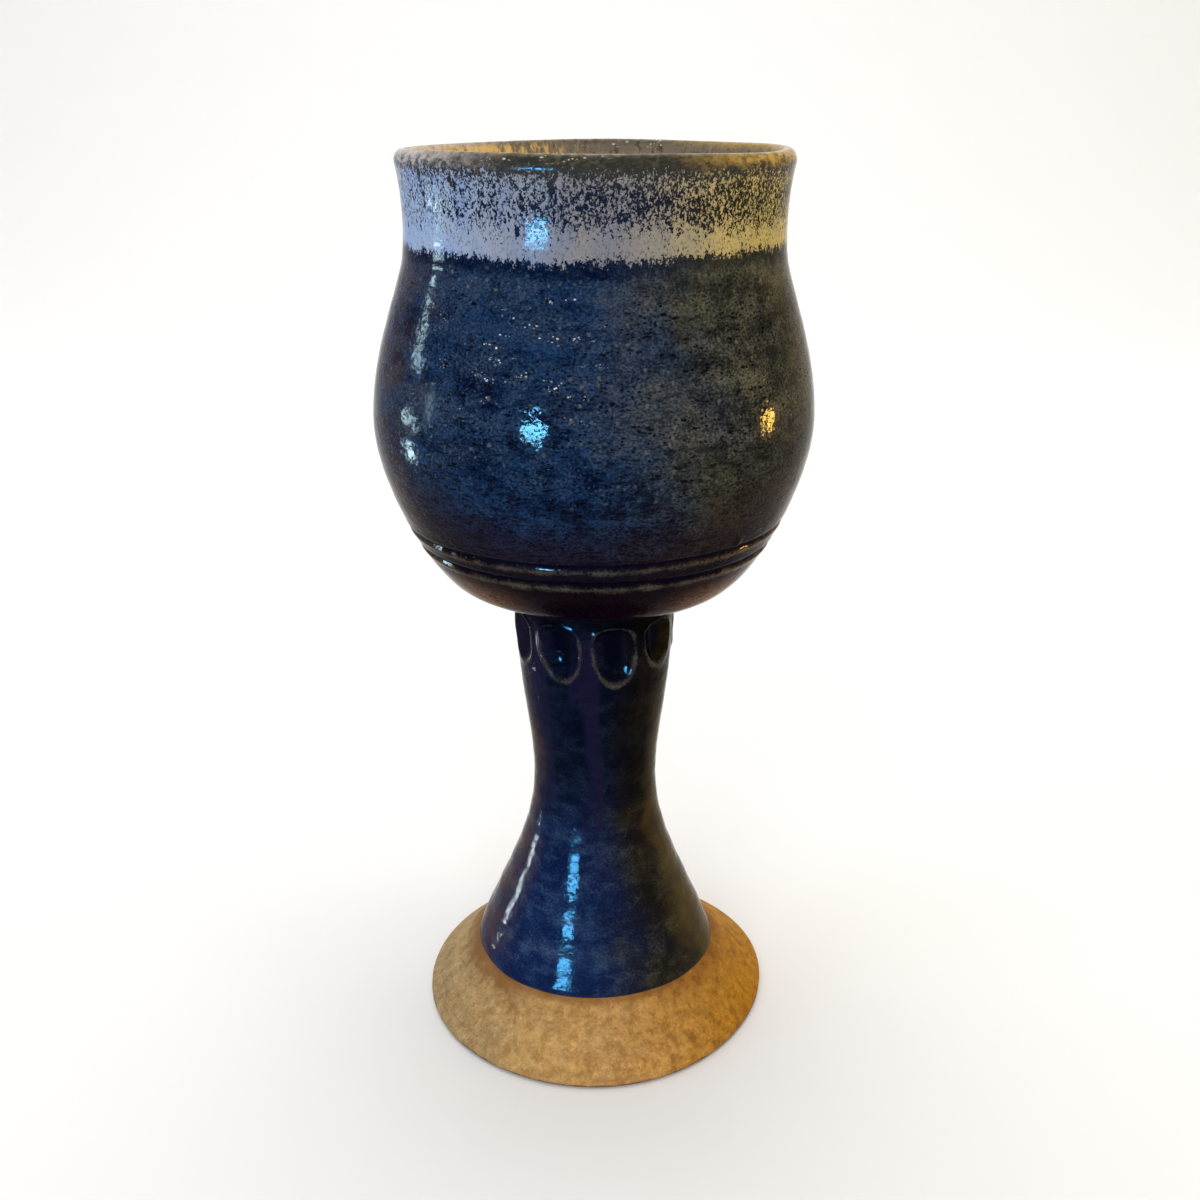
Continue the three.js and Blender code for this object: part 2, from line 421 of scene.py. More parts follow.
@dataclass(frozen=True)
class Scallop:
    """One thumb press in the stem's collar."""

    azimuth: float
    bottom: float
    half_width: float
    lean: float = 0.9

    def shape(self, turn: Array, rise: Array, collar: "Collar") -> Array:
        """The thumb's outline.

        Args:
            turn: azimuths.
            rise: heights.
            collar: the collar that the thumb pressed.

        Returns:
            Values under 1 inside it and 1 at its edge.
        """
        angle = (turn - math.radians(self.azimuth) + math.pi) % FULL_TURN - math.pi
        down = (collar.ledge - rise) / (collar.ledge - self.bottom)
        side = angle * collar.radius - self.lean * (down - 0.45)
        tip = np.clip(self.bottom + collar.thumb_tip - rise, 0, None) / collar.thumb_tip
        top = np.clip(rise - collar.ledge + collar.top_round, 0, None) / collar.top_round
        return np.sqrt((side / self.half_width) ** 2 + tip**2 + (0.85 * top) ** 2)


@dataclass(frozen=True)
class Collar:
    """The ring of thumb-pressed scallops under the bowl."""

    radius: float = 15.4
    ledge: float = 88.9
    thumb_tip: float = 6.2
    thumb_depth: float = 2.75
    thumb_standoff: float = 0.5
    thumb_slope: float = 0.72
    top_round: float = 2.2
    rim_rise: float = 0.24
    rim_width: float = 0.62
    scallops: tuple[Scallop, ...] = (
        Scallop(-66.5, 79.2, 4.1),
        Scallop(-26.0, 78.0, 4.2),
        Scallop(14.5, 77.2, 4.05),
        Scallop(52.5, 79.4, 4.0),
        Scallop(100, 78.1, 4.5),
        Scallop(146, 77.5, 4.4),
        Scallop(192, 78.4, 4.6),
        Scallop(241, 77.7, 4.4),
    )

    def relief(self, turn: Array, rise: Array) -> tuple[Array, Array, Array]:
        """The presses in the wall.

        Args:
            turn: azimuths.
            rise: heights.

        Returns:
            The relief, where glaze runs thin and where it pools.
        """
        shapes = [s.shape(turn, rise, self) for s in self.scallops]
        shape = np.min(shapes, axis=0)
        under = smoothstep(self.ledge + 0.45, self.ledge - 0.45, rise)
        press = self.thumb_depth * np.clip(1 - shape**2, 0, None) ** self.thumb_slope - self.thumb_standoff
        press = 0.5 * (press + np.sqrt(press**2 + 0.12))
        press -= 0.5 * (np.sqrt(self.thumb_standoff**2 + 0.12) - self.thumb_standoff)
        edge = (shape - 1.02) * self.half()
        lump = 1 + 0.3 * drift(turn, rise, 71, 3.5, 14)
        rim = self.rim_rise * bell(edge, self.rim_width) * lump
        fade = smoothstep(self.ledge + 1.2, self.ledge - 0.6, rise)
        fold = drift(turn, rise * 0, 83, 50.0, 7)
        ledge_line = bell(rise - self.ledge - 0.35 - 0.15 * fold, 0.32)
        crease = bell(rise - self.ledge - 1.35 - 0.3 * fold, 0.22)
        over = smoothstep(1.15, 0.8, shape)
        relief = -press * under + rim * fade + 0.16 * ledge_line * over - 0.12 * crease
        low = smoothstep(self.ledge, self.ledge - 8.0, rise)
        thin = np.clip(bell(edge, 0.5) * fade * (0.5 + 0.4 * low) + 0.4 * ledge_line * over, 0, 1)
        pooled = smoothstep(0.75, 0.3, shape) * under
        return relief, thin, np.clip(pooled, 0, 1)

    def half(self) -> float:
        """A thumb's usual half width."""
        return self.scallops[0].half_width


@dataclass(frozen=True)
class FootEdge:
    """The flared foot's edge, knocked a little out of round while soft."""

    radius: float = 36.3
    waves: tuple[tuple[int, float, float], ...] = (
        (1, 0.285, -80.7), (2, 0.428, 59.8), (3, 0.26, 33.4), (4, 0.192, -80.5),
    )  # fmt: skip

    def stretch(self, turn: Array) -> Array:
        """How much further out the edge lies than its mean radius.

        Args:
            turn: azimuths.

        Returns:
            The difference, which may be negative.
        """
        total = np.zeros_like(turn)
        for count, size, phase in self.waves:
            total = total + size * np.cos(count * turn + math.radians(phase))
        return total


# The goblet's outline


@dataclass(frozen=True)
class Outline:
    """The lines that the pot's sections follow, over the glaze unless they say clay."""

    joint_radius: float = 15.7
    joint_height: float = 91.8
    underside_end: Pair = (25.1, 94.9)
    belly: Pair = (41.3, 127.0)
    shoulder: Pair = (34.6, 158.1)
    neck: Pair = (34.45, 163.0)
    lip_edge: Pair = (35.5, 172.8)
    lip_middle: float = 33.9
    lip_top: float = 175.0
    throat: float = 32.3
    neck_inside: Pair = (29.7, 159.4)
    belly_inside: Pair = (36.5, 127.0)
    cup_bottom: float = 100.8
    waist: Pair = (12.6, 52.4)
    glaze_line: Pair = (25.4, 12.4)
    foot_edge: Pair = (36.3, 2.0)
    coat: float = 0.65
    fillet_height: float = 89.9

    def bowl_outside(self) -> Array:
        """From the joint up the bowl to the lip's widest ring.

        Returns:
            The line's points.
        """
        underside = bend([(self.joint_radius, self.joint_height), (20.6, 93.9), self.underside_end])
        low = bend([self.underside_end, (31.0, 95.7), (41.3, 115.6), self.belly], 400)
        swell = bend([self.belly, (41.3, 140.4), (34.6, 152.9), self.shoulder], 300)
        waistband = bend([self.shoulder, (34.42, 160.4), self.neck])
        throat = bend([self.neck, (34.5, 168.4), self.lip_edge])
        return joined(underside, low, swell, waistband, throat)

    def lip(self) -> Array:
        """Over the lip, from its widest ring to the throat.

        Returns:
            The line's points.
        """
        angle = np.linspace(0, math.pi, 80)
        half = (self.lip_edge[0] - self.throat) / 2
        tall = self.lip_top - self.lip_edge[1]
        radius, height = self.lip_middle + half * np.cos(angle), self.lip_edge[1] + tall * np.sin(angle)
        return np.stack([radius, height], axis=1)

    def bowl_inside(self) -> Array:
        """Down the inside of the bowl to its middle.

        Returns:
            The line's points.
        """
        neck = bend([(self.throat, self.lip_edge[1]), (29.9, 167.5), self.neck_inside])
        wall = bend([self.neck_inside, (29.4, 152.0), (36.5, 140.0), self.belly_inside], 300)
        cup = bend([self.belly_inside, (36.5, 108.1), (27.0, 100.8), (0.0, self.cup_bottom)], 400)
        return joined(neck, wall, cup)

    def stem_outside(self) -> Array:
        """From the glaze line up the stem to the joint.

        Returns:
            The line's points.
        """
        (line_r, line_z), (waist_r, waist_z) = self.glaze_line, self.waist
        low, high = waist_z - line_z, self.joint_height - waist_z
        ease, slope = 0.427, 0.404
        start = (line_r - slope * ease * low, line_z + ease * low)
        flare = bend([self.glaze_line, start, (waist_r, waist_z - 0.339 * low), self.waist], 300)
        joint = (self.joint_radius, self.joint_height)
        turn = (self.joint_radius, self.joint_height - 0.514 * high)
        shaft = bend([self.waist, (waist_r, waist_z + 0.29 * high), turn, joint], 300)
        return joined(flare, shaft)

    def stem_clay(self) -> Meridian:
        """The clay under the glaze, and bare from the glaze line to the foot's edge.

        Returns:
            The line.
        """
        under = Meridian(self.stem_outside()).offset(-self.coat)
        edge = np.array([self.foot_edge])
        return Meridian(np.concatenate([edge, under]), round_off=1.6)

    def stem_skin(self) -> Meridian:
        """The stem's glaze, from the bare foot to the small fillet that wets the bowl's underside.

        Returns:
            The line.
        """
        clay = self.stem_clay()
        skin = clay.offset(self.coat)
        skin = skin[skin[:, 1] < self.fillet_height]
        end = skin[-1]
        fillet = bend([tuple(end), (end[0] + 0.02, 91.95), (17.9, 92.62)])
        lap = bend([(17.9, 92.62), (18.8, 93.0), (19.8, 93.5)])
        return Meridian(joined(skin, fillet, lap), round_off=0.4)

# Node wiring


class Signal:
    """What a socket puts out. Arithmetic with it adds the Math nodes that it takes."""

    def __init__(self, wiring: "Wiring", socket: NodeSocket) -> None:
        """Holds an output socket and the wiring that it belongs to."""
        self.wiring = wiring
        self.socket = socket

    def __add__(self, other: "Given") -> "Signal":
        """The sum."""
        return self.wiring.math("ADD", self, other)

    def __sub__(self, other: "Given") -> "Signal":
        """The difference."""
        return self.wiring.math("SUBTRACT", self, other)

    def __rsub__(self, other: float) -> "Signal":
        """A number less this."""
        return self.wiring.math("SUBTRACT", other, self)

    def __mul__(self, other: "Given") -> "Signal":
        """The product."""
        return self.wiring.math("MULTIPLY", self, other)

    def __truediv__(self, other: "Given") -> "Signal":
        """The quotient."""
        return self.wiring.math("DIVIDE", self, other)

    def __rtruediv__(self, other: float) -> "Signal":
        """A number divided by this."""
        return self.wiring.math("DIVIDE", other, self)

    def __gt__(self, other: "Given") -> "Signal":
        """1 where this is the greater, or else 0."""
        return self.wiring.math("GREATER_THAN", self, other)

    def __lt__(self, other: "Given") -> "Signal":
        """1 where this is the smaller, or else 0."""
        return self.wiring.math("LESS_THAN", self, other)

    def __abs__(self) -> "Signal":
        """Its size without its sign."""
        return self.wiring.math("ABSOLUTE", self)

    def or_more(self, other: "Given") -> "Signal":
        """The greater of the two."""
        return self.wiring.math("MAXIMUM", self, other)

    def span(self, low: "Given", high: "Given", start: "Given" = 0.0, end: "Given" = 1.0) -> "Signal":
        """An eased ramp from start to end as this goes from low to high."""
        ramp = (self, low, high, start, end)
        return self.wiring.result("ShaderNodeMapRange", *ramp, interpolation_type="SMOOTHSTEP")


Given = Signal | float | Colour


class Wiring:
    """Adds nodes to one tree and joins them, keeping each call short."""

    def __init__(self, tree: NodeTree) -> None:
        """Works on tree."""
        self.tree = tree

    def node(self, kind: str, **values: Any) -> Node:
        """A new node.

        Args:
            kind: its type.
            values: settings by attribute name.

        Returns:
            The node.
        """
        made = self.tree.nodes.new(kind)
        for key, value in values.items():
            setattr(made, key, value)
        return made

    def feed(self, socket: NodeSocket, value: Given) -> None:
        """Links an input socket, or sets its number or colour.

        Args:
            socket: the input.
            value: a signal, a number or a colour.
        """
        if isinstance(value, Signal):
            self.tree.links.new(value.socket, socket)
        elif isinstance(value, tuple) and socket.type == "RGBA":
            socket.default_value = (*value[:3], 1.0)
        else:
            socket.default_value = value

    def result(self, kind: str, *inputs: Given, **values: Any) -> Signal:
        """A new node's first output.

        Args:
            kind: its type.
            inputs: what its inputs take, in their order.
            values: settings by attribute name.

        Returns:
            The output.
        """
        made = self.node(kind, **values)
        for socket, value in zip(made.inputs, inputs):
            self.feed(socket, value)
        return Signal(self, made.outputs[0])

    def math(self, operation: str, *inputs: Given, clamp: bool = False) -> Signal:
        """A Math node's result."""
        return self.result("ShaderNodeMath", *inputs, operation=operation, use_clamp=clamp)

    def mix(self, share: Given, first: Given, second: Given, blend: str = "MIX") -> Signal:
        """A mix of two colours.

        Args:
            share: how much there is of the second.
            first: the colour at share 0.
            second: the colour at share 1.
            blend: how they are blended.

        Returns:
            The mixed colour.
        """
        made = self.node("ShaderNodeMix", data_type="RGBA", blend_type=blend)
        for index, value in ((0, share), (6, first), (7, second)):
            self.feed(made.inputs[index], value)
        return Signal(self, made.outputs[2])

    def shaded(self, colour: Given, shade: Given) -> Signal:
        """A colour times a number.

        Args:
            colour: the colour.
            shade: the number.

        Returns:
            The darker or lighter colour.
        """
        made = self.node("ShaderNodeVectorMath", operation="SCALE")
        self.feed(made.inputs[0], colour)
        self.feed(made.inputs["Scale"], shade)
        return Signal(self, made.outputs[0])

    def place(self, across: float = 1.0, up: float = 1.0, shift: Colour = (0.0, 0.0, 0.0)) -> Signal:
        """The point on the object in millimetres, stretched and moved.

        Args:
            across: its scale along X and Y.
            up: its scale along Z.
            shift: how far it is moved.

        Returns:
            The point.
        """
        made = self.node("ShaderNodeMapping")
        self.feed(made.inputs["Vector"], Signal(self, self.node("ShaderNodeTexCoord").outputs["Object"]))
        made.inputs["Scale"].default_value = (across / MM, across / MM, up / MM)
        made.inputs["Location"].default_value = shift
        return Signal(self, made.outputs[0])

    def axis(self, which: str) -> Signal:
        """One coordinate of the point on the object, in millimetres.

        Args:
            which: X, Y or Z.

        Returns:
            The coordinate.
        """
        split = self.node("ShaderNodeSeparateXYZ")
        self.feed(split.inputs[0], self.place())
        return Signal(self, split.outputs[which])

    def noise(
        self, place: Signal, size: float, detail: float = 3.0, rough: float = 0.55, warp: float = 0.0
    ) -> Signal:
        """Noise from 0 to 1.

        Args:
            place: the point that it is taken at.
            size: about how wide its largest features are, in millimetres.
            detail: how many finer layers it has.
            rough: how strong the finer layers are.
            warp: how far it is distorted.

        Returns:
            The noise.
        """
        made = self.node("ShaderNodeTexNoise")
        self.feed(made.inputs["Vector"], place)
        settings = {"Scale": 1 / size, "Detail": detail, "Roughness": rough, "Distortion": warp}
        for name, value in settings.items():
            made.inputs[name].default_value = value
        return Signal(self, made.outputs[0])

    def cells(self, place: Signal, size: Signal, **values: Any) -> tuple[Signal, Signal, Signal]:
        """Cells that lie at random.

        Args:
            place: the point that they are taken at.
            size: how wide they are, in millimetres.
            values: settings by attribute name.

        Returns:
            The distance from a cell's middle in cells, and two random values that each cell has.
        """
        made = self.node("ShaderNodeTexVoronoi", **values)
        self.feed(made.inputs["Vector"], place)
        self.feed(made.inputs["Scale"], 1.0 / size)
        chance = self.node("ShaderNodeSeparateColor")
        self.feed(chance.inputs[0], Signal(self, made.outputs["Color"]))
        sockets = (made.outputs["Distance"], chance.outputs[0], chance.outputs[1])
        distance, first, second = (Signal(self, socket) for socket in sockets)
        return distance, first, second

    def mark(self, mark: Mark) -> Signal:
        """A value that the mesh carries at each point."""
        return Signal(self, self.node("ShaderNodeAttribute", attribute_name=mark.value).outputs["Fac"])

    def use(self, group: NodeTree, **inputs: Given) -> list[Signal]:
        """Places a node group.

        Args:
            group: the group.
            inputs: what its inputs take, with underscores for the spaces in their names.

        Returns:
            Its outputs.
        """
        made = self.node("ShaderNodeGroup", node_tree=group)
        for name, value in inputs.items():
            self.feed(made.inputs[name.replace("_", " ")], value)
        return [Signal(self, output) for output in made.outputs]


class Carries(Enum):
    """What an output of a node group carries."""

    COLOUR = "NodeSocketColor"
    VALUE = "NodeSocketFloat"


@dataclass
class Effect:
    """A node group in the making: its wiring, its inputs and its outputs."""

    name: str
    inputs: dict[str, float | Colour]
    outputs: dict[str, Carries]

    def __post_init__(self) -> None:
        """Makes the tree and its named sockets."""
        self.tree = bpy.data.node_groups.new(self.name, "ShaderNodeTree")
        self.wiring = Wiring(self.tree)
        sockets = self.tree.interface
        for name, value in self.inputs.items():
            kind = Carries.COLOUR if isinstance(value, tuple) else Carries.VALUE
            made = sockets.new_socket(name=name, in_out="INPUT", socket_type=kind.value)
            made.default_value = (*value, 1.0) if isinstance(value, tuple) else value
        for name, kind in self.outputs.items():
            sockets.new_socket(name=name, in_out="OUTPUT", socket_type=kind.value)
        self.start = self.tree.nodes.new("NodeGroupInput")
        self.end = self.tree.nodes.new("NodeGroupOutput")

    def given(self, name: str) -> Signal:
        """What an input carries inside the group."""
        return Signal(self.wiring, self.start.outputs[name])

    def put_out(self, name: str, value: Signal) -> None:
        """Joins a result to an output."""
        self.wiring.feed(self.end.inputs[name], value)


# Effects that more than one finish shares


@dataclass
class BlueBody:
    """The blue glaze's colour: mottled, streaked, flecked, and browner towards +X with painted side light."""

    dots: NodeTree
    dusk: Colour = (0.012, 0.010, 0.021)
    # warm_ colours here and below: the same colours under painted warm side light towards +X
    warm_dusk: Colour = (0.021, 0.012, 0.010)
    # painted reflection of warm surroundings under the bowl's flanks
    warm_reflection: Colour = (0.22, 0.09, 0.022)
    run: Colour = (0.011, 0.009, 0.037)
    warm_run: Colour = (0.014, 0.007, 0.005)
    fleck: Colour = (0.115, 0.12, 0.112)
    warm_fleck: Colour = (0.165, 0.15, 0.098)
    # painted reflections where the pot turns away to each side
    left_edge_reflection: Colour = (0.085, 0.043, 0.022)
    right_edge_reflection: Colour = (0.115, 0.076, 0.014)
    collar_height: float = 83.0
    high_zone: Pair = (108.0, 140.0)
    fading_zone: Pair = (134.0, 112.0)
    dusk_zone: Pair = (124.0, 112.0)
    low_zone: Pair = (114.0, 105.5)
    warm_reflection_zone: Pair = (104.0, 96.0)
    fleck_zone: Pair = (112.0, 134.0)
    scratch_top: Pair = (150.0, 124.0)
    scratch_foot: Pair = (60.0, 90.0)
    # painted shade on the shaft and under the bowl: where it sets in
    shaft_shade_zone: Pair = (30.0, 60.0)
    under_bowl_shade_zone: Pair = (85.0, 90.0)
    run_top: Pair = (92.0, 84.0)
    run_foot: Pair = (30.0, 48.0)

    def __post_init__(self) -> None:
        """Makes the group and what its steps share."""
        self.effect = Effect(
            "Blue body",
            {
                "Deep": (0.003, 0.009, 0.032),
                "Body": (0.010, 0.030, 0.070),
                "Bloom": (0.040, 0.058, 0.092),
                # Warm colours: the same colours under painted warm side light towards +X
                "Warm deep": (0.008, 0.008, 0.008),
                "Warm body": (0.026, 0.026, 0.022),
                "Warm bloom": (0.085, 0.078, 0.052),
                "Low": (0.003, 0.001, 0.003),
                "Low share": 1.0,
                # Shaft: how dark the painted shade on the shaft is
                "Shaft": 1.0,
                "Grit": 1.0,
            },
            {"Colour": Carries.COLOUR, "Roughness": Carries.VALUE},
        )
        w = self.wiring = self.effect.wiring
        self.x, self.z = w.axis("X"), w.axis("Z")
        self.broad = w.noise(w.place(1, 1.1), 15.0, 2.0, 0.5, 0.6)
        self.middle = w.noise(w.place(0.9, 1.3, (3, 1, 5)), 3.4, 4.0, 0.62, 0.3)
        self.grain = w.noise(w.place(1, 1.3, (1, 8, 2)), 0.5, 2.0, 0.6)
        self.streak = w.noise(w.place(0.12, 1, (5, 0, 0)), 3.4, 3.0, 0.5)
        self.thinner = w.noise(w.place(0.8, 1.2, (11, 4, 7)), 9.0, 3.0, 0.55, 0.6)
        y = w.axis("Y")
        self.turned = self.x / w.math("SQRT", self.x * self.x + y * y)
        # painted side light: how far the warm-lit colours take over towards +X
        self.warm_side_light = (self.turned * 38.0 + (self.broad - 0.5) * 28.0).span(-2, 25)
        self.low_share = self.effect.given("Low share")

    def side_lit(self, name: str) -> Signal:
        """One of the group's colours, turned warmer towards +X by painted side light."""
        return self.wiring.mix(self.warm_side_light, self.effect.given(name), self.effect.given("Warm " + name.lower()))

    def mottled(self) -> Signal:
        """The glaze where it lies thick, with paler clouds where it has bloomed.

        Returns:
            The colour.
        """
        mix = self.wiring.mix
        high = self.z.span(*self.high_zone, -0.05, 0.02)
        grit = (self.grain - 0.5) * (self.effect.given("Grit") * 0.2)
        wet = self.broad * 0.28 + self.middle * 0.46 + self.streak * 0.26 + grit + high
        colour = mix(wet.span(0.37, 0.6), self.side_lit("Deep"), self.side_lit("Body"))
        haze = self.middle * 0.4 + self.thinner * 0.34 + self.streak * 0.26 + grit * 1.4 + high
        haze = haze - self.z.span(*self.fading_zone, 0, 0.15) * self.low_share
        return mix(haze.span(0.43, 0.72, 0, 0.62), colour, self.side_lit("Bloom"))

    def sunk(self, colour: Signal) -> Signal:
        """Darker down the belly, and a painted warm reflection low on its flanks.

        Args:
            colour: the glaze so far.

        Returns:
            The colour.
        """
        mix, flank = self.wiring.mix, abs(self.x)
        sinking = self.z + self.middle * 4.0 - flank.span(12, 34, 0, 6)
        dusk = sinking.span(*self.dusk_zone, 0, 0.82) * self.low_share
        # painted side light: warmer towards +X
        colour = mix(dusk, colour, mix(self.warm_side_light, self.dusk, self.warm_dusk))
        low = sinking.span(*self.low_zone) * self.low_share
        colour = mix(low * 0.93, colour, self.effect.given("Low"))
        # painted reflection: warm brown under the bowl's flanks
        warm_reflection = self.z.span(*self.warm_reflection_zone) * flank.span(9, 24, 0, 0.8)
        return mix(warm_reflection * self.low_share, colour, self.warm_reflection)

    def shade(self) -> Signal:
        """Grit, fine level scratches, and painted shade on the shaft and under the bowl.

        Returns:
            What the colour is multiplied by.
        """
        w, z = self.wiring, self.z
        shade = self.grain.span(0.3, 0.7, -0.42, 0.42) * self.effect.given("Grit") + 1.0
        scratch = w.noise(w.place(0.33, 1.3, (2, 7, 1)), 0.8, 3.0, 0.6).span(0.54, 0.63, 0, 0.62)
        scratch = scratch * z.span(*self.scratch_top, 0.3, 1) * z.span(*self.scratch_foot, 0.25, 1)
        # painted shade: darker up the shaft and at the stem's top under the bowl
        shade = shade * (1.0 - scratch) * z.span(*self.shaft_shade_zone, 1, self.effect.given("Shaft"))
        return shade * z.span(*self.under_bowl_shade_zone, 1, self.low_share * 0.55 + 0.45)

    def runny(self, colour: Signal) -> Signal:
        """Dark runs down the stem.

        Args:
            colour: the glaze so far.

        Returns:
            The colour.
        """
        w, z = self.wiring, self.z
        runs = w.noise(w.place(1, 0.07, (4, 2, 0)), 5.5, 2.0, 0.5).span(0.5, 0.62, 0, 0.55)
        runs = runs * z.span(*self.run_top) * z.span(*self.run_foot, 0.25, 1)
        # painted side light: warmer runs towards +X
        return w.mix(runs, colour, w.mix(self.warm_side_light, self.run, self.warm_run))

    def flecked(self, colour: Signal) -> Signal:
        """Pale flecks over the belly.

        Args:
            colour: the glaze so far.

        Returns:
            The colour.
        """
        w = self.wiring
        pale = w.use(self.dots, Cell=1.5, Amount=0.55, Radius=0.19, Seed=5.0)[0]
        faint = w.use(self.dots, Cell=0.8, Amount=0.5, Radius=0.2, Seed=11.0)[0]
        pale = pale.or_more(faint * 0.6) * self.thinner.span(0.34, 0.62, 0.2, 0.75)
        pale = pale * self.z.span(*self.fleck_zone)
        # painted side light: warmer flecks towards +X
        return w.mix(pale, colour, w.mix(self.warm_side_light, self.fleck, self.warm_fleck))

    def painted_edge_reflection(self, colour: Signal) -> Signal:
        """Painted reflection: browner where the pot turns away to the left and right.

        Args:
            colour: the glaze so far.

        Returns:
            The colour.
        """
        mix, z = self.wiring.mix, self.z
        # painted reflection: browner towards the pot's left and right edges
        end = (abs(self.turned) + (self.thinner - 0.5) * 0.5).span(0.7, 1.05, 0, 0.6)
        end = end * z.span(170, 20, 0.5, 1) * abs(z - self.collar_height).span(4, 24, 0.25, 1)
        return mix(end, colour, mix(self.x.span(-6, 6), self.left_edge_reflection, self.right_edge_reflection))

    def build(self) -> NodeTree:
        """Takes the colour through its steps.

        Returns:
            The group.
        """
        colour = self.wiring.shaded(self.sunk(self.mottled()), self.shade())
        colour = self.painted_edge_reflection(self.flecked(self.runny(colour)))
        self.effect.put_out("Colour", colour)
        self.effect.put_out("Roughness", self.middle.span(0.3, 0.7, 0.05, 0.11))
        return self.effect.tree


class Kiln:
    """The effects that more than one finish shares, each a node group built once."""

    def __init__(self) -> None:
        """Builds every group."""
        self.dots = self.make_dots()
        self.glassy_skin = self.make_glassy_skin()
        self.broken_edge = self.make_broken_edge()
        self.side_light = self.make_side_light()
        self.broken_white = self.make_broken_white()
        self.sand = self.make_sand()
        self.blue_body = BlueBody(self.dots).build()

    def make_glassy_skin(self) -> NodeTree:
        """Ripples, orange peel, pits and fine throwing lines as a height in millimetres.

        Returns:
            The group.
        """
        effect = Effect(
            "Glassy skin",
            {"Peel": 0.03, "Pits": 0.08, "Lines": 0.012},
            {"Height": Carries.VALUE, "Pit mask": Carries.VALUE},
        )
        w = effect.wiring
        ripple = w.noise(w.place(1, 0.9), 5.0, 2.0, 0.5)
        wide = w.noise(w.place(shift=(3, 3, 3)), 1.9, 2.0, 0.5)
        fine = w.noise(w.place(shift=(7, 3, 1)), 0.7, 2.0, 0.5)
        peel = (ripple * 2.6 + wide * 2.0 + fine * 0.6) * effect.given("Peel")
        pits = w.use(self.dots, Cell=0.85, Amount=0.7, Radius=0.28, Tall=0.6, Seed=3.0)[0]
        gashes = w.use(self.dots, Cell=1.9, Amount=0.4, Radius=0.26, Tall=0.4, Seed=8.0)[0]
        pit_mask = pits.or_more(gashes)
        lines = w.noise(w.place(0.07, 1), 1.1, 2.0, 0.5) * effect.given("Lines")
        effect.put_out("Height", peel + lines - pit_mask * effect.given("Pits"))
        effect.put_out("Pit mask", pit_mask)
        return effect.tree

    def make_broken_edge(self) -> NodeTree:
        """Where a coat breaks over an edge: the mesh's mark, roughened.

        Returns:
            The group.
        """
        effect = Effect("Broken edge", {"Mark": 0.0, "Strength": 1.0}, {"Mask": Carries.VALUE})
        w, mark = effect.wiring, effect.given("Mark")
        ragged = w.noise(w.place(1.3, 0.9), 0.55, 3.0, 0.65)
        patchy = w.noise(w.place(shift=(3, 6, 1)), 3.4, 2.0, 0.5)
        worn = (ragged - 0.5) * 1.6 + mark + (patchy - 0.5) * 1.7
        mask = w.math("MULTIPLY", worn.span(0.2, 1.35), effect.given("Strength"), clamp=True)
        effect.put_out("Mask", mask * mark.span(0.03, 0.3))
        return effect.tree

    def make_side_light(self) -> NodeTree:
        """Painted side light: warmer towards +X, cooler towards -X.

        The tints match one photograph and carry its warm and cool side light as colour.

        Returns:
            The group.
        """
        effect = Effect(
            "Painted side light",
            {"Colour": (0.5, 0.5, 0.5), "Warm": PLAIN, "Cool": PLAIN, "Reach": 40.0},
            {"Colour": Carries.COLOUR},
        )
        w = effect.wiring
        side = w.axis("X") / effect.given("Reach") + (w.noise(w.place(), 30.0, 2.0) - 0.5) * 0.25
        colour = effect.given("Colour")
        # painted side light: a warm tint towards +X and a cool one towards -X
        for name, far in (("Warm", 1.0), ("Cool", -1.0)):
            tint = w.mix(side.span(0, far), PLAIN, effect.given(name))
            colour = w.mix(1.0, colour, tint, "MULTIPLY")
        effect.put_out("Colour", colour)
        return effect.tree

    def make_dots(self) -> NodeTree:
        """Ragged dots that lie at random: a Cell holds one at most, and Radius is a share of the Cell.

        Returns:
            The group.
        """
        inputs = {"Cell": 1.2, "Amount": 0.4, "Radius": 0.2, "Tall": 1.0, "Seed": 0.0}
        effect = Effect("Dots", inputs, {"Mask": Carries.VALUE})
        w = effect.wiring
        tall = w.result("ShaderNodeCombineXYZ", 1.0, 1.0, 1.0 / effect.given("Tall"))
        stretch = (w.place(), tall, effect.given("Seed"))
        place = w.result("ShaderNodeVectorMath", *stretch, operation="MULTIPLY_ADD")
        distance, breadth, luck = w.cells(place, effect.given("Cell"))
        ragged = (w.noise(w.place(), 0.3, 2.0, 0.6) - 0.5) * 1.8
        dot = distance / (effect.given("Radius") * (breadth + 0.5)) + ragged
        effect.put_out("Mask", dot.span(1.25, 0.6) * (luck < effect.given("Amount")))
        return effect.tree

    def make_sand(self) -> NodeTree:
        """Grains of sand in bare clay, from 0 for a dark one to 1 for a light one.

        Returns:
            The group.
        """
        effect = Effect("Sand", {"Size": 0.42}, {"Grain": Carries.VALUE})
        w = effect.wiring
        grain = (w.noise(w.place(), 1.6, 3.0, 0.6) - 0.5) * 0.9
        for scale, share in ((1.0, 0.45), (0.6, 0.35)):
            size = effect.given("Size") * scale
            tone = w.cells(w.place(shift=(scale, 2, 5)), size, feature="SMOOTH_F1")[1]
            grain = (tone - 0.5) * share + grain
        effect.put_out("Grain", grain + 0.5)
        return effect.tree

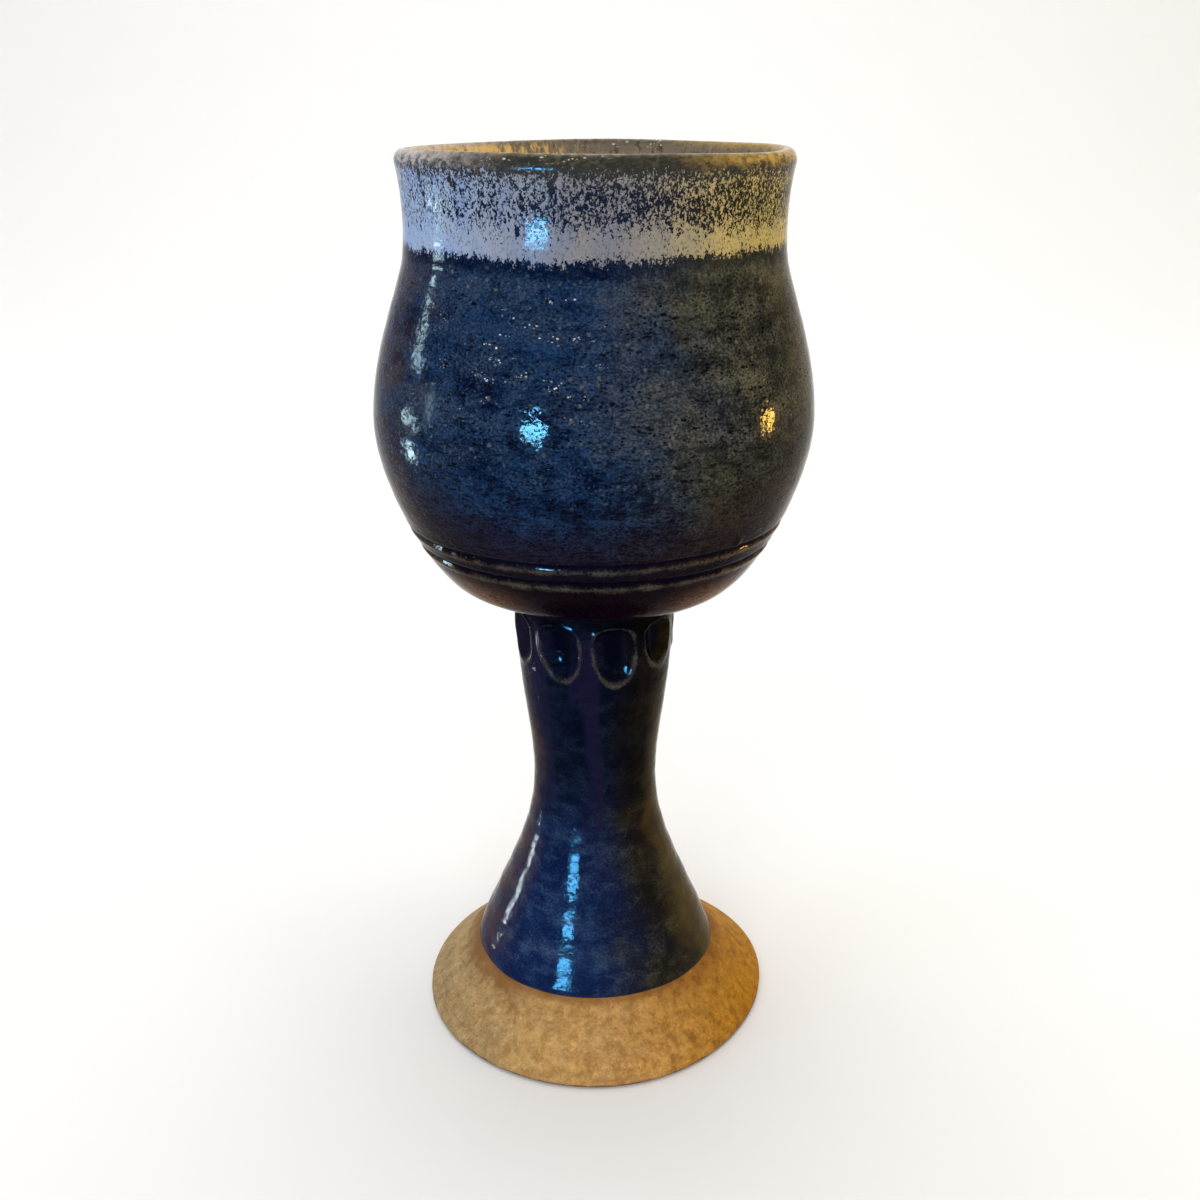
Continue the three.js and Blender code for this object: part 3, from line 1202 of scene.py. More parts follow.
    def make_broken_white(self) -> NodeTree:
        """White glaze breaking up into grains: what is left of it, where Lost goes from 0 to 1.

        Returns:
            The group.
        """
        effect = Effect("Broken white", {"Lost": 0.0}, {"Mask": Carries.VALUE})
        w = effect.wiring
        patchy = w.noise(w.place(1, 0.7, (2, 7, 4)), 2.6, 2.0, 0.5)
        large = w.noise(w.place(1, 0.7, (0, 0, 40)), 0.54, 3.0, 0.62)
        small = w.noise(w.place(1, 0.8, (9, 5, 10)), 0.27, 1.0, 0.5)
        need = effect.given("Lost") * 0.32 + 0.34
        grains = large * 0.52 + small * 0.35 + patchy * 0.13
        effect.put_out("Mask", (grains - need).span(-0.035, 0.045))
        return effect.tree


# Finishes


def new_material(name: str) -> tuple[Material, Wiring, Node]:
    """An empty material.

    Args:
        name: the finish.

    Returns:
        The material, its wiring and its Principled BSDF.
    """
    material = bpy.data.materials.new(name)
    material.use_nodes = True
    return material, Wiring(material.node_tree), material.node_tree.nodes["Principled BSDF"]


def dress(w: Wiring, shader: Node, colour: Given, rough: Given, gloss: float, height: Signal) -> None:
    """Gives a shader its finish.

    Args:
        w: the material's wiring.
        shader: its Principled BSDF.
        colour: the base colour.
        rough: the roughness.
        gloss: how strongly it mirrors, the same all over.
        height: the relief, in millimetres, that bumps its normal.
    """
    w.feed(shader.inputs["Base Color"], colour)
    w.feed(shader.inputs["Roughness"], rough)
    shader.inputs["Specular IOR Level"].default_value = gloss
    bump = w.node("ShaderNodeBump")
    bump.inputs["Strength"].default_value = 1.0
    bump.inputs["Distance"].default_value = MM
    w.feed(bump.inputs["Height"], height)
    w.feed(shader.inputs["Normal"], Signal(w, bump.outputs[0]))


@dataclass(frozen=True)
class BlueGlaze:
    """The glossy dark blue, mottled and breaking to grey-ochre on edges."""

    name: str
    deep: Colour = (0.0012, 0.005, 0.024)
    body: Colour = (0.0100, 0.0345, 0.093)
    bloom: Colour = (0.040, 0.051, 0.076)
    # warm_ colours: the same colours under painted warm side light towards +X
    warm_deep: Colour = (0.015, 0.0155, 0.012)
    warm_body: Colour = (0.046, 0.045, 0.031)
    warm_bloom: Colour = (0.135, 0.126, 0.083)
    low: Colour = (0.0035, 0.0005, 0.003)
    low_share: float = 1.0
    # shaft: how dark the painted shade on the stem's shaft is
    shaft: float = 1.0
    grit: float = 1.0
    pool: Colour = (0.0006, 0.001, 0.008)
    edge: Colour = (0.094, 0.085, 0.066)
    left_edge: Colour = (0.150, 0.078, 0.040)
    right_edge: Colour = (0.260, 0.150, 0.030)
    pit: Colour = (0.0025, 0.0025, 0.005)
    gloss: float = 0.012
    peel: float = 0.031
    pits: float = 0.04
    lines: float = 0.0015
    # painted highlights: tiny bright sparkles
    sparkle: Colour = (0.95, 0.95, 0.92)
    sparkle_share: float = 0.8
    sparkle_zone: Pair = (132.0, 140.0)
    sparkle_middle: float = -12.0
    pit_zone: Pair = (103.0, 108.0)
    pit_mask_zone: Pair = (92.0, 104.0)
    broken: float = 0.6

    def on_body(self, w: Wiring, kiln: Kiln) -> list[Signal]:
        """The shared blue body with this glaze's colours.

        Args:
            w: the material's wiring.
            kiln: the shared effects.

        Returns:
            The colour and the roughness.
        """
        colours = ("deep", "body", "bloom", "warm_deep", "warm_body", "warm_bloom", "low")
        inputs = {name.capitalize(): getattr(self, name) for name in colours}
        return w.use(kiln.blue_body, Low_share=self.low_share, Shaft=self.shaft, Grit=self.grit, **inputs)

    def painted_sparkles(self, w: Wiring, kiln: Kiln) -> Signal:
        """Painted highlights: rows of tiny bright sparkles, high on the belly's left.

        Args:
            w: the material's wiring.
            kiln: the shared effects.

        Returns:
            Where they are, from 0 to 1.
        """
        dots = w.use(kiln.dots, Cell=0.55, Amount=0.6, Radius=0.3, Tall=0.7, Seed=14.0)[0]
        rows = w.noise(w.place(0.25, 0.9, (3, 3, 9)), 1.9, 3.0, 0.65).span(0.57, 0.64)
        aside = abs(w.axis("X") - self.sparkle_middle)
        there = rows * w.axis("Z").span(*self.sparkle_zone) * aside.span(16, 8)
        return dots * there * self.sparkle_share

    def material(self, kiln: Kiln) -> Material:
        """Builds the finish.

        Args:
            kiln: the shared effects.

        Returns:
            The material.
        """
        material, w, shader = new_material(self.name)
        x, z = w.axis("X"), w.axis("Z")
        body, rough = self.on_body(w, kiln)
        colour = w.mix(w.mark(Mark.POOLED) * 0.9, body, self.pool)
        edge = w.use(kiln.broken_edge, Mark=w.mark(Mark.THIN), Strength=self.broken)[0]
        ends = w.mix(x > 0.0, self.left_edge, self.right_edge)
        colour = w.mix(edge, colour, w.mix(abs(x).span(12, 36), self.edge, ends))
        pits = z.span(*self.pit_zone, 0.25, 1) * self.pits
        height, pit_mask = w.use(kiln.glassy_skin, Peel=self.peel, Pits=pits, Lines=self.lines)
        crowd = w.noise(w.place(1, 1.3, (6, 6, 6)), 8.0, 2.0, 0.5).span(0.34, 0.56, 0.4, 1)
        colour = w.mix(pit_mask * crowd * z.span(*self.pit_mask_zone, 0.15, 1), colour, self.pit)
        # painted highlights: bright sparkles high on the belly's left
        colour = w.mix(self.painted_sparkles(w, kiln), colour, self.sparkle)
        dress(w, shader, colour, rough, self.gloss, height)
        return material


@dataclass(frozen=True)
class BandGlaze:
    """The lavender white over the blue: speckled through, feathered at its lower edge."""

    blue: BlueGlaze
    name: str = "Lavender white glaze"
    pale: Colour = (0.205, 0.215, 0.26)
    cream: Colour = (0.255, 0.245, 0.25)
    dark: Colour = (0.006, 0.012, 0.034)
    warm_dark: Colour = (0.017, 0.016, 0.011)
    under_lip: Colour = (0.040, 0.039, 0.034)
    # warm and cool: painted side light, as multipliers towards +X and -X
    warm_side_light: Colour = (2.4, 1.84, 0.53)
    cool_side_light: Colour = (1.34, 1.84, 2.6)
    reach: float = 32.0
    lower_edge: float = 158.2
    lip_foot: float = 170.4
    gloss: float = 0.014

    def sway(self, w: Wiring) -> Signal:
        """How the band's limits rise and fall round the pot, from -0.5 to 0.5."""
        return w.noise(w.place(1, 0.1), 19.0, 2.0) - 0.5

    def thinned(self, w: Wiring, kiln: Kiln) -> Signal:
        """How far the white is broken up, in the band and in the lip's skirt.

        Args:
            w: the material's wiring.
            kiln: the shared effects.

        Returns:
            What is lost of it, by its height and side.
        """
        x, z = w.axis("X"), w.axis("Z")
        foot, lip = self.lower_edge, self.lip_foot
        top = z + self.sway(w) * 4.0
        lost = top.span(foot + 1.8, foot + 8.0, 0.13, 0.51) + z.span(lip + 0.2, lip + 3.6, 0, 0.38)
        lost = lost + x.span(-30, 4, -0.11, 0.02)
        spots = w.use(kiln.dots, Cell=1.0, Amount=0.55, Radius=0.23, Tall=1.5, Seed=27.0)[0]
        lost = lost + spots * top.span(foot + 3.0, foot + 8.0) * x.span(18, -2, 0, 0.5)
        gashes = w.use(kiln.dots, Cell=2.4, Amount=0.6, Radius=0.19, Tall=1.9, Seed=21.0)[0]
        return lost + gashes * x.span(6, -12, 0, 0.55) + x.span(4, 24, 0, 0.03)

    def dark_side(self, w: Wiring) -> Signal:
        """The colour between the white's grains, warmer towards +X with painted side light."""
        # painted side light: warmer towards +X
        dark = w.mix(w.axis("X").span(-2, 26), self.dark, self.warm_dark)
        return w.mix(w.axis("Z").span(self.lip_foot - 2, self.lip_foot + 2, 0, 0.8), dark, self.under_lip)

    def white_side(self, w: Wiring, kiln: Kiln) -> Signal:
        """The white's own colour, clouded, sugary and tinted by painted side light.

        Args:
            w: the material's wiring.
            kiln: the shared effects.

        Returns:
            The colour.
        """
        cloud = w.noise(w.place(1, 0.5), 5.0, 4.0, 0.6)
        white = w.mix(cloud.span(0.35, 0.65), self.pale, self.cream)
        sugar = w.noise(w.place(1, 0.7), 0.4, 2.0)
        white = w.mix(sugar.span(0.48, 0.78, 0, 0.5), white, self.dark)
        # painted side light tints the white
        return w.use(kiln.side_light, Colour=white, Warm=self.warm_side_light, Cool=self.cool_side_light, Reach=self.reach)[0]

    def material(self, kiln: Kiln) -> Material:
        """Builds the finish.

        Args:
            kiln: the shared effects.

        Returns:
            The material.
        """
        material, w, shader = new_material(self.name)
        fingers = w.noise(w.place(1, 0.22), 1.5, 4.0, 0.7) - 0.5
        edge = self.sway(w) * 3.4 + fingers * 5.2 + self.lower_edge
        rise = w.axis("Z") - edge
        under = self.blue.on_body(w, kiln)[0]
        shadow = w.mix(w.axis("X").span(2, 24), self.blue.deep, self.blue.warm_deep)
        under = w.mix(rise.span(-2.4, -0.6, 0, 0.7), under, shadow)
        under = w.mix(rise.span(0, 3), under, self.dark_side(w))
        lost = self.thinned(w, kiln) + rise.span(2.2, -1.5, 0, 1.15)
        cover = w.use(kiln.broken_white, Lost=lost)[0]
        colour = w.mix(cover, under, self.white_side(w, kiln))
        height = w.use(kiln.glassy_skin, Peel=0.015, Pits=0.02)[0] + cover * 0.03
        dress(w, shader, colour, cover.span(0, 1, 0.08, 0.11), self.gloss, height)
        return material


@dataclass(frozen=True)
class TanGlaze:
    """The liner: glossy golden tan with dark flecks inside, olive brown over the lip."""

    band: BandGlaze
    name: str = "Golden tan liner glaze"
    # painted warm light on the left inside wall
    lamplit_gold: Colour = (1.0, 0.66, 0.21)
    brown: Colour = (0.235, 0.195, 0.145)
    fleck: Colour = (0.045, 0.036, 0.028)
    lip: Colour = (0.030, 0.030, 0.022)
    tan: Colour = (0.078, 0.069, 0.050)
    crest: Colour = (0.42, 0.34, 0.22)
    # painted reflections at the lip's two ends
    left_edge_reflection: Colour = (0.68, 0.61, 0.60)
    right_edge_reflection: Colour = (0.66, 0.42, 0.085)
    glint: Colour = (0.85, 0.80, 0.70)
    skirt_top: float = 173.2
    gloss: float = 0.03

    def inside(self, w: Wiring) -> Signal:
        """The wall inside: brown, made golden and streaked on the left by painted warm light.

        Only the strip behind the lip shows in the photograph. The rest carries it on, as a guess.

        Args:
            w: the material's wiring.

        Returns:
            The colour.
        """
        x = w.axis("X")
        streaks = w.noise(w.place(1, 0.3, (2, 5, 0)), 1.1, 4.0, 0.7, 0.4)
        # painted warm light: golden and streaked on the left
        golden = x.span(4, -28, -0.5, 0.85) + streaks.span(0.36, 0.64)
        wall = w.mix(golden.span(0.3, 1.45), self.brown, self.lamplit_gold)
        flecks = w.noise(w.place(1, 0.4, (4, 2, 0)), 0.95, 3.0, 0.62, 0.6)
        return w.mix(flecks.span(0.52, 0.66, 0, 0.7) * x.span(-26, 4, 0.75, 1), wall, self.fleck)

    def over_lip(self, w: Wiring, kiln: Kiln) -> Signal:
        """The lip: dark olive in front, painted reflections golden on the right and greyer on the left, thin on
        its crest.

        Args:
            w: the material's wiring.
            kiln: the shared effects.

        Returns:
            The colour.
        """
        x = w.axis("X")
        mottle = w.noise(w.place(0.7, 1.2), 1.1, 4.0, 0.65, 0.4)
        rim = w.mix(mottle.span(0.42, 0.66), self.lip, self.tan)
        # painted reflections: lighter towards the lip's two ends
        sides = x.span(-12, -32, 0, 0.75).or_more(x.span(10, 30, 0, 0.75))
        ends = w.mix(x.span(-5, 5), self.left_edge_reflection, self.right_edge_reflection)
        rim = w.mix(sides * mottle.span(0.35, 0.62, 0.45, 1), rim, ends)
        rim = w.mix(w.mark(Mark.THIN) * mottle.span(0.38, 0.6, 0.35, 1), rim, self.crest)
        left = w.use(kiln.broken_white, Lost=self.band.thinned(w, kiln))[0]
        skirt = w.mix(left, self.band.dark_side(w), self.band.white_side(w, kiln))
        drop = w.axis("Z") + (mottle - 0.5) * 5.0
        return w.mix(drop.span(self.skirt_top + 1.1, self.skirt_top - 1.1), rim, skirt)

    def glints(self, w: Wiring, kiln: Kiln) -> Signal:
        """Painted glints: small bright dots round the lip's crest.

        Args:
            w: the material's wiring.
            kiln: the shared effects.

        Returns:
            Where they are, from 0 to 1.
        """
        x = w.axis("X")
        dots = w.use(kiln.dots, Cell=0.85, Amount=0.55, Radius=0.27, Tall=0.4, Seed=2.0)[0]
        patch = w.noise(w.place(1, 0.4, (1, 1, 7)), 3.0, 2.0, 0.5).span(0.42, 0.55)
        rear = w.axis("Y") > 0.0
        where = rear * abs(x - 9.0).span(15, 6) + (1.0 - rear) * abs(x + 8.0).span(13, 5)
        return dots * patch * where * w.axis("Z").span(173.4, 174.3, 0, 0.8)

    def material(self, kiln: Kiln) -> Material:
        """Builds the finish.

        Args:
            kiln: the shared effects.

        Returns:
            The material.
        """
        material, w, shader = new_material(self.name)
        colour = w.mix(w.mark(Mark.POOLED), self.over_lip(w, kiln), self.inside(w))
        # painted glints round the lip's crest
        colour = w.mix(self.glints(w, kiln), colour, self.glint)
        height = w.use(kiln.glassy_skin, Peel=0.04, Pits=0.04, Lines=0.03)[0]
        rough = w.noise(w.place(), 1.5, 4.0, 0.65).span(0.3, 0.7, 0.1, 0.2)
        dress(w, shader, colour, rough, self.gloss, height)
        return material


@dataclass(frozen=True)
class BareClay:
    """Sandy stoneware, toasted orange-brown where the glaze drew iron from it."""

    name: str
    sand: Colour = (0.60, 0.335, 0.098)
    grey: Colour = (0.51, 0.285, 0.095)
    toast: Colour = (0.22, 0.08, 0.018)
    # painted shade along the foot's bottom edge
    bottom_edge_shade: Colour = (0.075, 0.045, 0.035)
    speck: Colour = (0.13, 0.078, 0.038)
    rust: Colour = (0.40, 0.17, 0.035)
    fair: Colour = (0.80, 0.52, 0.22)
    licked: Colour = (0.29, 0.105, 0.020)
    stain: Colour = (0.29, 0.145, 0.038)
    # warm and cool: painted side light, as multipliers towards +X and -X
    warm_side_light: Colour = (0.78, 0.60, 0.05)
    cool_side_light: Colour = (0.74, 0.88, 1.24)
    reach: float = 34.0
    glaze_line: float = 12.4
    toast_reach: float = 4.6
    rough: float = 0.85
    gloss: float = 0.3

    def toasted(self, w: Wiring) -> Signal:
        """Where the clay is toasted under the glaze line.

        Args:
            w: the material's wiring.

        Returns:
            How strongly, from 0 to 1.
        """
        z, line = w.axis("Z"), self.glaze_line
        patch = w.noise(w.place(shift=(9, 2, 0)), 11.0, 3.0, 0.6)
        sides = abs(w.axis("X") + 2.0).span(8, 26) * 0.75 + 0.1
        near = z.span(line - self.toast_reach, line - 0.3) * patch.span(0.36, 0.6, 0.55, 1)
        halo = z.span(line - 1.6, line - 0.4, 0, 0.7) * patch.span(0.3, 0.55, 0.5, 1)
        return (near * sides).or_more(halo)

    def material(self, kiln: Kiln) -> Material:
        """Builds the finish.

        Args:
            kiln: the shared effects.

        Returns:
            The material.
        """
        material, w, shader = new_material(self.name)
        x, z = w.axis("X"), w.axis("Z")
        grain = w.use(kiln.sand)[0]
        colour = w.mix(w.noise(w.place(), 9.0, 5.0, 0.65).span(0.4, 0.62), self.sand, self.grey)
        rust = w.noise(w.place(shift=(5, 1, 3)), 6.0, 4.0, 0.65)
        colour = w.mix(rust.span(0.52, 0.7, 0, 0.45), colour, self.rust)
        colour = w.mix(grain.span(0.2, 0.52, 0.3, 0), colour, self.speck)
        colour = w.mix(grain.span(0.5, 0.85, 0, 0.42), colour, self.fair)
        light = w.use(kiln.dots, Cell=1.2, Amount=0.45, Radius=0.24, Seed=4.0)[0]
        colour = w.mix(light * 0.3, colour, self.fair)
        ring = w.noise(w.place(0.06, 1), 1.3, 3.0, 0.6)
        colour = w.mix(ring.span(0.48, 0.75, 0, 0.28), colour, self.speck)
        blotch = w.noise(w.place(1, 0.9, (2, 9, 6)), 2.1, 3.0, 0.62)
        colour = w.mix(blotch.span(0.48, 0.68) * x.span(-10, 26, 0.45, 0.85), colour, self.stain)
        colour = w.mix(blotch.span(0.48, 0.32, 0, 0.26), colour, self.fair)
        colour = w.mix(self.toasted(w), colour, self.toast)
        licked = (z + (blotch - 0.5) * 7.0).span(8.4, 11.6) * x.span(-9, -19, 0, 0.6)
        colour = w.mix(licked, colour, self.licked)
        dark = w.use(kiln.dots, Cell=1.7, Amount=0.22, Radius=0.14, Seed=9.0)[0]
        colour = w.mix(dark * 0.5, colour, self.speck)
        ragged = (w.noise(w.place(), 3.0, 4.0) - 0.5) * 1.6
        # painted shade: darker along the foot's bottom edge
        colour = w.mix((z + ragged).span(1.15, 0.35) * 0.85, colour, self.bottom_edge_shade)
        # painted side light: warmer towards +X, cooler towards -X
        colour = w.use(kiln.side_light, Colour=colour, Warm=self.warm_side_light, Cool=self.cool_side_light, Reach=self.reach)[0]
        height = grain * 0.05 + w.noise(w.place(), 1.7, 3.0) * 0.12 - dark * 0.08 + ring * 0.08
        rough = grain.span(0.2, 0.8, self.rough - 0.1, self.rough + 0.08)
        dress(w, shader, colour, rough, self.gloss, height)
        return material


# The goblet's sub-assemblies


@dataclass
class Laps:
    """How one coat gives way to the next so that the skin runs on without a step."""

    tip: float = 0.03
    clearance: float = 0.02
    band_start: Pair = (153.4, 157.2)
    band_thickness: float = 0.36
    liner_start: Pair = (169.6, 171.8)
    liner_thickness: float = 0.3
    fillet_end: Pair = (20.6, 18.0)
    fillet_drop: float = 0.55

    def under_band(self, rise: Array) -> Array:
        """How thick the white band is at a height, with its clearance."""
        return (self.band_thickness + self.clearance) * smoothstep(*self.band_start, rise)

    def under_liner(self, rise: Array) -> Array:
        """How thick the liner's skirt is at a height, with its clearance."""
        return (self.liner_thickness + self.clearance) * smoothstep(*self.liner_start, rise)

    def under_fillet(self, radius: Array, rise: Array) -> Array:
        """How deep the blue coat dips under the stem's fillet."""
        low = smoothstep(100.0, 95.0, rise)
        return self.fillet_drop * smoothstep(self.fillet_end[0], self.fillet_end[1], radius) * low


@dataclass
class BowlParts:
    """The thrown bowl: its clay and the three coats over it."""

    outline: Outline
    laps: Laps
    wall: ThrownWall = ThrownWall()
    grooves: tuple[Groove, ...] = (Groove(104.9, 0.25), Groove(108.7, 0.6))
    coat: float = 0.5
    clay_depth: float = 1.08
    coat_top: float = 170.4
    base_height: float = 92.45
    lip_wobble: float = 0.22
    band_ridge: float = 0.05
    ridge_height: float = 157.2
    drip: float = 0.35
    drip_azimuth: float = 42.0
    drip_height: float = 110.4
    drip_radius: float = 38.0
    groove_zone: Pair = (101.5, 112.0)
    seam_zone: Pair = (152.5, 158.5)
    base_radius: float = 15.4
    inside_rings: float = 0.16
    inside_pitch: float = 6.4

    def __post_init__(self) -> None:
        """Lays out the lines that the pieces share."""
        self.outside = Meridian(self.outline.bowl_outside(), round_off=0.6)
        shape = self.outline
        over = joined(shape.bowl_outside(), shape.lip(), shape.bowl_inside())
        self.whole = Meridian(over, round_off=0.6)

    def relief(self, turn: Array, rise: Array) -> tuple[Array, Array, Array]:
        """The outside as it is thrown, pressed and cut.

        Args:
            turn: azimuths.
            rise: heights.

        Returns:
            The relief, where glaze runs thin and where it pools.
        """
        relief = self.wall.relief(turn, rise)
        thin = np.zeros_like(relief)
        pooled = np.zeros_like(relief)
        for groove in self.grooves:
            relief = relief + groove.relief(turn, rise)
            thin = np.maximum(thin, groove.thin(turn, rise))
            pooled = np.maximum(pooled, groove.pooled(turn, rise))
        sway = 0.5 * drift(turn, rise * 0, 19, 50.0, 9)
        ridge = self.band_ridge * bell(rise - self.ridge_height - sway, 0.8)
        aside = (turn - math.radians(self.drip_azimuth)) * self.drip_radius
        drip = self.drip * bell(aside, 0.8) * bell(rise - self.drip_height, 1.2)
        return relief + ridge + drip, thin, pooled

    def face(self, line: Meridian, run: Array, lift: Callable[[Array, Array], Array]) -> Grid:
        """A face of the bowl's outside.

        Args:
            line: the section line that it follows.
            run: lengths along the line.
            lift: a function of radius and height that says how far the face stands out.

        Returns:
            The face's rings.
        """
        turn = turn_angles(TURNS)[None, :]
        along = ringed(run, TURNS)
        radius, rise = line.place(along)
        relief, thin, pooled = self.relief(turn, rise)
        r, z = line.place(along, relief + lift(radius, rise))
        return Grid(r, z, {Mark.THIN: thin, Mark.POOLED: pooled})

    def blue_coat(self, material: Material) -> Object:
        """The blue coat, from the joint up to where the liner starts.

        Args:
            material: its finish.

        Returns:
            The piece.
        """
        line = self.outside
        low, high = (line.at_height(height) for height in self.groove_zone)
        seam, belt = (line.at_height(height) for height in self.seam_zone)
        top, laps = line.at_height(self.coat_top), self.laps

        def outer(radius: Array, rise: Array) -> Array:
            """The visible face, which dips under the coats that lap it."""
            return -laps.under_band(rise) - laps.under_fillet(radius, rise)

        def inner(radius: Array, rise: Array) -> Array:
            """The face against the clay."""
            return outer(radius, rise) - self.coat

        run = stations(
            (0.1, low, 0.8), (low, high, 0.22), (high, seam, 0.62), (seam, belt, 0.28), (belt, top, 0.9)
        )
        back = stations((top, high, 1.6), (high, low, 0.4), (low, 0.1, 1.2))
        grid = self.face(line, run, outer).followed_by(self.face(line, back, inner))
        piece = make_piece("bowl_blue_glaze", grid)
        settle(piece, material, Slot.BLUE, "bowl_glaze")
        return piece

    def white_band(self, material: Material) -> Object:
        """The white coat over the blue, feathered out at both ends.

        Args:
            material: its finish.

        Returns:
            The piece.
        """
        line, laps = self.outside, self.laps
        start, top = line.at_height(laps.band_start[0] + 0.3), line.at_height(self.coat_top + 0.6)

        def outer(radius: Array, rise: Array) -> Array:
            """The visible face, which dips under the liner's skirt."""
            return -laps.under_liner(rise)

        def inner(radius: Array, rise: Array) -> Array:
            """The face against the blue."""
            thickness = laps.band_thickness * smoothstep(*laps.band_start, rise)
            return -np.maximum(np.minimum(thickness, 0.3), 0.012) - laps.under_liner(rise) * 0.1

        tip = laps.tip
        run = stations((start, start + tip, tip), (start + tip, top - tip, 0.26), (top - tip, top, tip))
        back = stations((top, top - tip, tip), (top - tip, start + tip, 0.7), (start + tip, start, tip))
        grid = self.face(line, run, outer).followed_by(self.face(line, back, inner))
        piece = make_piece("rim_white_band", grid)
        settle(piece, material, Slot.WHITE, "rim_band_glaze")
        return piece

    def inner_relief(self, turn: Array, rise: Array, run: Array, crest: float) -> Array:
        """Relief that fades from the outside's to the inside's over the lip.

        Args:
            turn: azimuths.
            rise: heights.
            run: lengths along the whole line.
            crest: the length at the lip's crest.

        Returns:
            The relief.
        """
        inside = smoothstep(crest - 1.0, crest + 4.0, run)
        spiral = self.inside_rings * rings(turn, rise, 12, self.inside_pitch)
        spiral = spiral * smoothstep(0.0, 9.0, run - crest)
        floor = smoothstep(101.5, 106.0, rise)
        outside = self.wall.relief(turn, rise)
        return outside * (1 - inside) + inside * (spiral * floor + 0.1 * drift(turn, rise, 44, 60.0, 3))

    def wobble(self, turn: Array, run: Array, crest: float) -> Array:
        """How far the lip's crest rises and falls."""
        return self.lip_wobble * drift(turn, run * 0, 17, 50.0, 5) * bell(run - crest, 4.0)

    def liner(self, material: Material) -> Object:
        """The coat inside the bowl and over its lip, which ends in a skirt on the outside.

        Args:
            material: its finish.

        Returns:
            The piece.
        """
        line, laps = self.whole, self.laps
        start = line.at_height(laps.liner_start[0] + 0.2)
        edge = line.mark(*self.outline.lip_edge)
        crest = line.mark(self.outline.lip_middle, self.outline.lip_top)
        throat = line.mark(self.outline.throat, self.outline.lip_edge[1])
        turn = turn_angles(TURNS)[None, :]

        def face(run: Array, depth: Callable[[Array, Array], Array]) -> Grid:
            """One of the coat's two faces.

            Args:
                run: lengths along the line.
                depth: a function of length and height that says how deep the face lies.

            Returns:
                The face's rings.
            """
            along = ringed(run, TURNS)
            radius, rise = line.place(along)
            relief = self.inner_relief(turn, rise, along, crest)
            r, z = line.place(along, relief - depth(along, rise))
            r = np.where(radius < 1e-9, 0.0, np.maximum(r, 0.0))
            marks = {
                Mark.THIN: bell(along - crest, 0.6) * np.ones_like(r),
                Mark.POOLED: smoothstep(crest + 0.1, throat - 0.2, along) * np.ones_like(r),
            }
            return Grid(r, z + self.wobble(turn, along, crest), marks)

        def visible(along: Array, rise: Array) -> Array:
            """The outer face lies on the line itself."""
            return np.zeros_like(along)

        def hidden(along: Array, rise: Array) -> Array:
            """The face against the band and the clay."""
            skirt = laps.liner_thickness * smoothstep(*laps.liner_start, rise)
            return np.maximum(np.where(along < crest, skirt, self.coat), 0.012)

        end, tip, below = line.length, laps.tip, throat + 12
        run = stations(
            (start, start + tip, tip), (start + tip, edge, 0.35), (edge, throat, 0.22), (throat, below, 0.5),
            (below, end, 0.95),
        )  # fmt: skip
        back = stations(
            (end, throat, 1.6), (throat, edge, 0.4), (edge, start + tip, 0.5), (start + tip, start, tip)
        )
        front, rear = face(run, visible), face(back, hidden)
        pole = np.zeros((1, TURNS))
        inner_pole = Grid(pole, pole + front.height[-1].mean())
        outer_pole = Grid(pole, pole + rear.height[0].mean())
        section = outer_pole.followed_by(rear.part(1)).followed_by(front.part(0, -1)).followed_by(inner_pole)
        section.marks[Mark.POOLED][-1] = 1.0
        piece = make_piece("bowl_tan_liner", section)
        settle(piece, material, Slot.TAN, "liner_glaze")
        return piece

    def clay(self, material: Material) -> Object:
        """The bowl's clay, under its coats, with a flat base where the slip takes it.

        Args:
            material: its finish.

        Returns:
            The piece.
        """
        line = self.whole
        turn = turn_angles(HIDDEN_TURNS)[None, :]
        crest = line.mark(self.outline.lip_middle, self.outline.lip_top)
        start = line.at_height(self.base_height + 1.9)
        run = stations((start, crest, 0.9), (crest, line.length - 0.5, 1.4))
        along = ringed(run, HIDDEN_TURNS)
        radius, rise = line.place(along)
        outside = self.relief(turn, rise)[0]
        blend = smoothstep(crest - 1.0, crest + 4.0, along)
        relief = outside * (1 - blend) + self.inner_relief(turn, rise, along, crest) * blend
        deep = np.interp(along, [crest - 6, crest, crest + 6], [self.clay_depth, 0.75, 0.65])
        r, z = line.place(along, relief - deep)
        wall = Grid(r, z + self.wobble(turn, along, crest))
        pole = np.zeros((1, HIDDEN_TURNS))
        rim = pole + self.base_radius
        base = Grid(np.concatenate([pole, rim]), np.full((2, HIDDEN_TURNS), self.base_height))
        middle = Grid(pole, pole + float(wall.height[-1].mean()))
        piece = make_piece("bowl_clay", base.followed_by(wall).followed_by(middle))
        settle(piece, material, Slot.CLAY, "bowl")
        return piece


